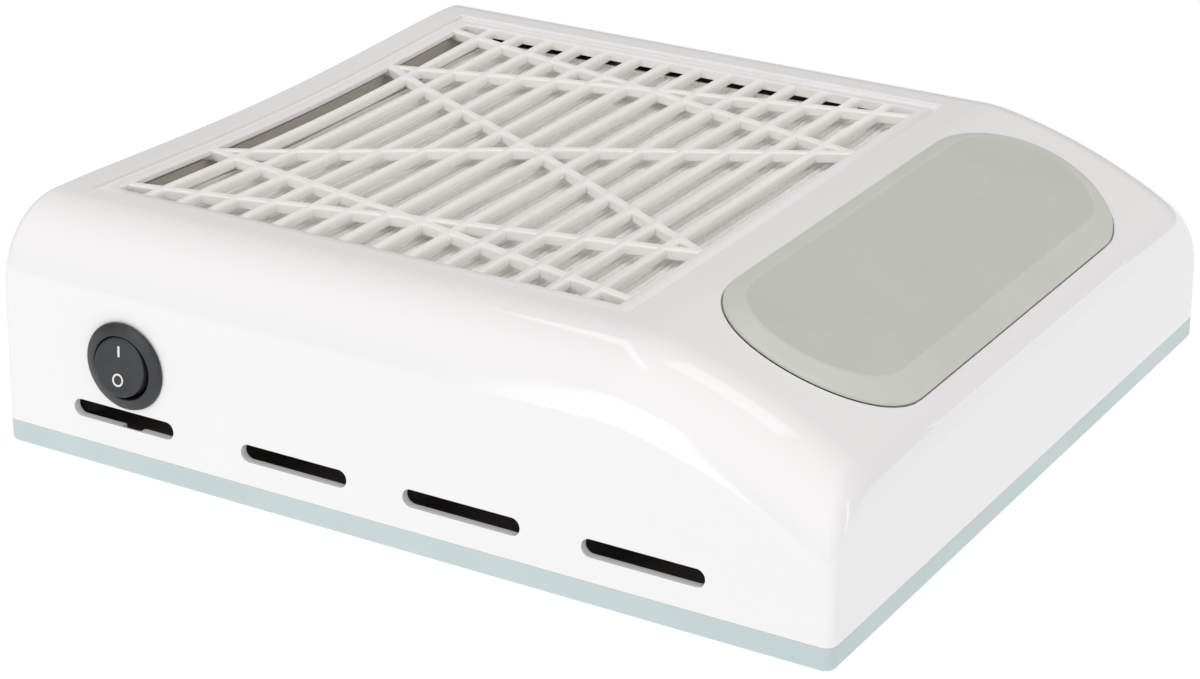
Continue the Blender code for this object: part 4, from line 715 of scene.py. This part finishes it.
ledges = bmesh.new()
for sign, at in ((1, RECESS_BACK), (-1, RECESS_FRONT)):
    near, far = sorted((at - sign * LEDGE, at + sign * LEDGE))
    block(ledges, (-RECESS_X - LEDGE, near, WELL_BOTTOM), (RECESS_X + LEDGE, far, DECK - WALL / 2))
# The ledges' faces take the warm grey painted shade.
bm = carved(bm, lined(ledges, 2), "UNION")
seat_low, seat_high = DECK - PAD_POCKET - WALL, DECK - 0.6 * WALL
seat = stadium(PAD_LENGTH + 4 * WALL, PAD_WIDTH + 4 * WALL, seat_low, seat_high, PAD_MIDDLE)
bm = carved(bm, seat, "UNION")
recess = bmesh.new()
block(recess, (-RECESS_X, RECESS_FRONT, LEDGE_TOP), (RECESS_X, RECESS_BACK, DECK + WALL))
bm = carved(bm, recess)
pocket_length, pocket_width = PAD_LENGTH + 2 * CLEARANCE, PAD_WIDTH + 2 * CLEARANCE
bm = carved(bm, stadium(pocket_length, pocket_width, DECK - PAD_POCKET, DECK + WALL, PAD_MIDDLE, 24))
rims = [
    e for e in bm.edges if all(abs(v.co.z - DECK) < TOUCH for v in e.verts) and e.is_manifold
    and abs(e.calc_face_angle(0)) > 0.5
]
rounded(bm, rims, RIM_EDGE, 3)
form(bm)

posts = bmesh.new()
pilots = bmesh.new()
for spot in POSTS:
    rod(posts, spot, POST_RADIUS, SEAM, DECK - 0.75 * WALL)
    rod(pilots, spot, PILOT_RADIUS, SEAM - WALL, SEAM + PILOT_DEPTH)
for spot in TRAY_SCREWS:
    rod(posts, spot, POST_RADIUS, TRAY_TOP + CLEARANCE, DECK - 0.75 * WALL)
    rod(pilots, spot, PILOT_RADIUS, TRAY_TOP - WALL, TRAY_TOP + PILOT_DEPTH)
bmesh.ops.triangulate(posts, faces=posts.faces[:])
for vert in posts.verts:
    vert.co = formed(vert.co, leaning=False)
bm = carved(bm, lined(posts, 1), "UNION")
bm = carved(bm, pilots)

holes = bmesh.new()
hollows = bmesh.new()
for sign in (-1, 1):
    for y, length in VENTS:
        near, far = sorted((sign * (HALF_WIDTH - VENT_WALL), sign * (HALF_WIDTH - 2 * WALL)))
        block(
            hollows, (near, y - HOLLOW_LENGTH / 2, VENT_Z - HOLLOW_HEIGHT / 2),
            (far, y + HOLLOW_LENGTH / 2, VENT_Z + HOLLOW_HEIGHT / 2),
        )
        made = block(
            holes, (sign * HALF_WIDTH - 4 * WALL, y - length / 2, VENT_Z - VENT_HALF),
            (sign * HALF_WIDTH + 4 * WALL, y + length / 2, VENT_Z + VENT_HALF),
        )
        across = [e for e in along(holes, 0) if set(e.verts) <= set(made)]
        rounded(holes, across, VENT_ROUND, 8)
notch = bmesh.new()
block(
    notch, (NOTCH_SKIN - HALF_WIDTH, NOTCH_Y - NOTCH_HALF, VENT_Z - NOTCH_DEPTH),
    (4 * WALL - HALF_WIDTH, NOTCH_Y + NOTCH_HALF, VENT_Z),
)
for radius, centre, axis, segments in (
    (SWITCH_HOLE, (-HALF_WIDTH, SWITCH_Y, SWITCH_Z), "Y", 64), (SOCKET_HOLE, SOCKET_PLACE, "X", 48),
):
    bore = bmesh.new()
    rod(bore, (0, 0), radius, -4 * WALL, 4 * WALL, segments)
    bore.transform(Matrix.Translation(centre) @ Matrix.Rotation(math.pi / 2, 4, axis))
    bm = carved(bm, bore)
bm = carved(bm, lined(hollows, 1))
bm = carved(bm, holes, crossing=True)
bm = carved(bm, notch)
finishes = (white_gloss, grey_inside, rough_inside_painted_shade)
housing = piece("housing_shell", bm, "housing", "upper_housing", "white_gloss", *finishes)
level_out = housing.modifiers.new("even shading", "WEIGHTED_NORMAL")
level_out.keep_sharp = True

# ---------------------------------------------------------------- hand rest
# A soft pad for the wrist, moulded in grey-green polyurethane on a stiff plate. Its rim rolls up
# to a flat middle that follows the slope.
PAD_EDGE = 0.5 * MM
PAD_RISE = 2.7 * MM
PAD_MARGIN = 5.4 * MM
PAD_PLATE = 0.8 * MM

# Polyurethane, moulded, soft-touch: matt, with a very fine leather-like pore.
soft_touch = {"IOR": 1.46, "Sheen_Weight": 0.15, "Sheen_Roughness": 0.5}
pad_pu, tree, shader = finish("polyurethane, soft-touch", "C8CAC2", 0.55, **soft_touch)
place = grained(tree, shader, 0.5 * MM, 0.02 * MM, detail=4.0)
tinted(tree, shader, place, "C6C8C0", "CACCC4", 18 * MM)

# The same polyurethane on the rim, painted paler than the flat middle: painted light on the bevel.
rim_pu_painted_light, tree, shader = finish("polyurethane, soft-touch, rim, painted light", "D0D2CA", 0.5, **soft_touch)
place = grained(tree, shader, 0.5 * MM, 0.015 * MM, detail=4.0)
tinted(tree, shader, place, "CED0C8", "D3D5CD", 18 * MM)


def rim_rise(share):
    """The rim in section, 0 to 1: a small round outside, a straight bevel, a soft turn into the flat."""
    outside = math.sin(min(1.0, share / 0.12) * math.pi / 2)
    late = max(0.0, share - 0.78) / 0.22
    bevel = 1.124 * share if share < 0.78 else 0.877 + 0.123 * late * (2 - late)
    return 0.24 * outside + 0.76 * bevel


low = DECK - PAD_POCKET + PAD_PLATE + 2 * CLEARANCE
bm = stadium(PAD_LENGTH, PAD_WIDTH, low, DECK + PAD_EDGE, PAD_MIDDLE, 24)
bm.normal_update()
top = [f for f in bm.faces if f.normal.z > 0.9]
straight = (PAD_LENGTH - PAD_WIDTH) / 2
reach = PAD_WIDTH / 2
RIM_STEPS = 20
for step in range(1, RIM_STEPS + 1):
    share = step / RIM_STEPS
    inset = PAD_MARGIN / RIM_STEPS
    rise = (rim_rise(share) - rim_rise(share - 1 / RIM_STEPS)) * (PAD_RISE - PAD_EDGE)
    bmesh.ops.inset_region(bm, faces=top, thickness=0)
    for vert in {v for f in top for v in f.verts}:
        spine = Vector((min(straight, max(-straight, vert.co.x)), PAD_MIDDLE, vert.co.z))
        vert.co = spine + (vert.co - spine) * (reach - inset) / reach
        vert.co.z += rise
    reach -= inset
# Every face but the flat middle takes the paler colour of painted light; the flat keeps the pad's own
# colour.
flat = set(top)
for face in bm.faces:
    face.material_index = 0 if face in flat else 1
form(bm, dish=None)
pad = piece("hand_rest_cushion", bm, "housing", "hand_rest_pad", "pad_grey", pad_pu, rim_pu_painted_light)
dress(fan_nylon, "hand_rest_plate")

# ---------------------------------------------------------------- filter
# A drop-in filter: a thin plastic frame round white non-woven paper folded into narrow pleats.
FILTER_X = 78.6 * MM
FILTER_FRONT = -44.8 * MM
FILTER_BACK = 94.2 * MM
FILTER_TOP = GRILLE_TOP - 4.2 * MM
FILTER_BOTTOM = FILTER_TOP - 12.0 * MM
FRAME_WALL = 0.8 * MM
FRAME_CORNER = 2.0 * MM
PLEAT_PITCH = 1.65 * MM
PLEAT_DEPTH = 2.0 * MM
PAPER_INSET = 1.4 * MM
PAPER_SINK = 0.5 * MM
PAPER_SLACK = 0.05 * MM
PAPER = 0.22 * MM

# Polypropylene, moulded: milky and satin.
filter_pp, tree, shader = finish("polypropylene, moulded", "F6F5F3", 0.45)
grained(tree, shader, 0.6 * MM, 0.02 * MM)

bm = slab((-FILTER_X, FILTER_FRONT, FILTER_BOTTOM), (FILTER_X, FILTER_BACK, FILTER_TOP), FRAME_CORNER, 4)
mouth = bmesh.new()
block(mouth, (FRAME_WALL - FILTER_X, FILTER_FRONT + FRAME_WALL, FILTER_BOTTOM - MM),
      (FILTER_X - FRAME_WALL, FILTER_BACK - FRAME_WALL, FILTER_TOP + MM))
bm = carved(bm, mouth)
form(bm, slope=None)
piece("filter_frame_walls", bm, "filter", "filter_frame", "filter_plastic", filter_pp)

# Non-woven filter paper: dull white fibres pressed flat, drawn coarser than they are to show.
filter_paper, tree, shader = finish("non-woven paper, pleated", "F7F6F3", 0.95, Specular_IOR_Level=0.1)
place = add(tree, "ShaderNodeTexCoord")
stretch = add(tree, "ShaderNodeMapping", {"Vector": place.outputs["Object"], "Scale": (0.25, 1, 1)})
fibres = add(tree, "ShaderNodeTexNoise", {
    "Vector": stretch.outputs["Vector"], "Scale": 1 / (0.35 * MM), "Detail": 4.0, "Roughness": 0.7,
})
felt = add(tree, "ShaderNodeBump", {"Height": fibres.outputs["Fac"], "Distance": 0.12 * MM})
tree.links.new(felt.outputs["Normal"], shader.inputs["Normal"])
tinted(tree, shader, place, "F3F2EF", "FAF9F6", 2.5 * MM)

half = FILTER_X - FRAME_WALL - PAPER_SLACK
high = FILTER_TOP - PAPER_SINK
deep = high - PLEAT_DEPTH
front = FILTER_FRONT + PAPER_INSET
folds = int((FILTER_BACK - PAPER_INSET - front) / PLEAT_PITCH)
bm = bmesh.new()
line = []
for fold in range(folds):
    for share in (0.0, 0.08, 0.22, 0.4, 0.6, 0.78, 0.92):
        rise = math.sin(math.pi * share) ** 0.55
        line.append(bm.verts.new((-half, front + PLEAT_PITCH * (fold + share), deep + (high - deep) * rise)))
edges = [bm.edges.new(pair) for pair in zip(line, line[1:])]
COLUMNS = 26
for column in range(COLUMNS):
    grown = bmesh.ops.extrude_edge_only(bm, edges=edges)["geom"]
    edges = [item for item in grown if isinstance(item, bmesh.types.BMEdge)]
    moved = [item for item in grown if isinstance(item, bmesh.types.BMVert)]
    bmesh.ops.translate(bm, vec=(2 * half / COLUMNS, 0, 0), verts=moved)
# The pleats wander a little along their length and stand unevenly high.
for vert in bm.verts:
    spot = Vector((vert.co.x / (22 * MM), vert.co.y / (5 * MM), 0))
    vert.co.y += 0.45 * MM * noise.noise(spot)
    vert.co.z += 0.5 * MM * noise.noise(spot + Vector((7, 3, 1))) * (vert.co.z - deep) / (high - deep)
    vert.co.z = formed(vert.co, leaning=False).z
bmesh.ops.recalc_face_normals(bm, faces=bm.faces[:])
bm = modified(bm, "SOLIDIFY", thickness=PAPER, offset=0)
piece("filter_pleats", bm, "filter", "filter_media", "paper", filter_paper, sharp=60)

# ---------------------------------------------------------------- grille
# A white panel that drops into the recess: cross slats with rounded tops, tied together by ribs that
# cross in three tall X shapes.
BORDER = 4.5 * MM
FIELD_X = RECESS_X - CLEARANCE - BORDER
FIELD_FRONT = RECESS_FRONT + CLEARANCE + BORDER
FIELD_BACK = RECESS_BACK - CLEARANCE - BORDER
GRILLE_EDGE = 0.15 * MM
THIN_REACH = 2.5 * MM  # the back border is thinned from below, so far back and so far up
THIN_DEPTH = 1.2 * MM
SLATS = 14
SLAT = 2.8 * MM
FIRST_SLAT = FIELD_FRONT + 9.0 * MM
LAST_SLAT = FIELD_BACK - 8.1 * MM
RIB = 2.7 * MM
RIB_INNER = 39.6 * MM
RIB_OUTER = FIELD_X - 4.8 * MM
HANG = 0.5 * MM  # how far slats and ribs reach below the border
INTO = 2.2 * MM  # how far their ends run into the border
SINK = 0.03 * MM  # how far their tops lie below the border's

# ABS, moulded, white satin: softer than the housing, with a fine even grain.
white_satin, tree, shader = finish("ABS, moulded, white satin", "F9F7F5", 0.45, IOR=1.53)
place = grained(tree, shader, 0.5 * MM, 0.008 * MM)
worn(tree, shader, place, 0.42, 0.5, 12 * MM)

rim_x = RECESS_X - TOUCH
bm = bmesh.new()
block(bm, (-rim_x, RECESS_FRONT + TOUCH, GRILLE_BOTTOM), (rim_x, RECESS_BACK - TOUCH, GRILLE_TOP))
field = bmesh.new()
block(field, (-FIELD_X, FIELD_FRONT, GRILLE_BOTTOM - MM), (FIELD_X, FIELD_BACK, GRILLE_TOP + MM))
bm = carved(bm, field)
thinner = bmesh.new()
thin_back, thin_top = FIELD_BACK + THIN_REACH, GRILLE_BOTTOM + THIN_DEPTH
block(thinner, (-FIELD_X, FIELD_BACK - MM, GRILLE_BOTTOM - MM), (FIELD_X, thin_back, thin_top))
bm = carved(bm, thinner)
rims = [
    e for e in bm.edges if all(abs(v.co.z - GRILLE_TOP) < TOUCH for v in e.verts)
    and abs(e.calc_face_angle(0)) > 0.5
]
rounded(bm, rims, GRILLE_EDGE, 2)


def bar(width, length, low, high, over, under):
    """A slat or rib along X, its upper and lower edges rounded by these shares of its width."""
    bm = bmesh.new()
    block(bm, (-length / 2, -width / 2, low), (length / 2, width / 2, high))
    rounded(bm, [e for e in along(bm, 0) if e.verts[0].co.z > high - TOUCH], width * over, 6)
    lower = [e for e in along(bm, 0) if max(v.co.z for v in e.verts) < low + TOUCH]
    rounded(bm, lower, width * under, 5)
    return bm


def poured(target, source):
    """Adds the shape of one bmesh to another."""
    mesh = bpy.data.meshes.new("pour")
    source.to_mesh(mesh)
    source.free()
    target.from_mesh(mesh)
    bpy.data.meshes.remove(mesh)


pitch = (LAST_SLAT - FIRST_SLAT) / (SLATS - 1)
slats = bmesh.new()
for number in range(SLATS):
    slat = bar(SLAT, 2 * (FIELD_X + INTO), GRILLE_BOTTOM - HANG, GRILLE_TOP - SINK, 0.4, 0.42)
    bmesh.ops.translate(slat, vec=(0, FIRST_SLAT + pitch * number, 0), verts=slat.verts[:])
    poured(slats, slat)
bm = carved(bm, slats, "UNION")
run = FIELD_BACK - FIELD_FRONT
middle = (FIELD_FRONT + FIELD_BACK) / 2
for number, (start, end) in enumerate((
    (-RIB_OUTER, -RIB_INNER), (-RIB_INNER, -RIB_OUTER), (-RIB_INNER, RIB_INNER),
    (RIB_INNER, -RIB_INNER), (RIB_INNER, RIB_OUTER), (RIB_OUTER, RIB_INNER),
)):
    lower = SINK * (2 + number / 2)
    rib = bar(RIB, run + 2 * INTO, GRILLE_BOTTOM - HANG + lower, GRILLE_TOP - lower, 0.2, 0.2)
    rib.transform(Matrix.Rotation(math.pi / 2, 4, "Z"))
    for vert in rib.verts:
        vert.co.x += (start + end) / 2 + (end - start) * vert.co.y / run
        vert.co.y += middle
    bm = carved(bm, rib, "UNION")
# The border's flat top is polished like the housing.
for face in bm.faces:
    spots = [v.co for v in face.verts]
    outside = all(abs(s.x) > FIELD_X - TOUCH or abs(s.y - middle) > run / 2 - TOUCH for s in spots)
    if outside and face.normal.z > 0.3 and min(s.z for s in spots) > GRILLE_TOP - SINK / 2:
        face.material_index = 1
form(bm, slope=None)
piece("grille_panel", bm, "grille", "filter_grille", "white_satin", white_satin, white_gloss, sharp=40)
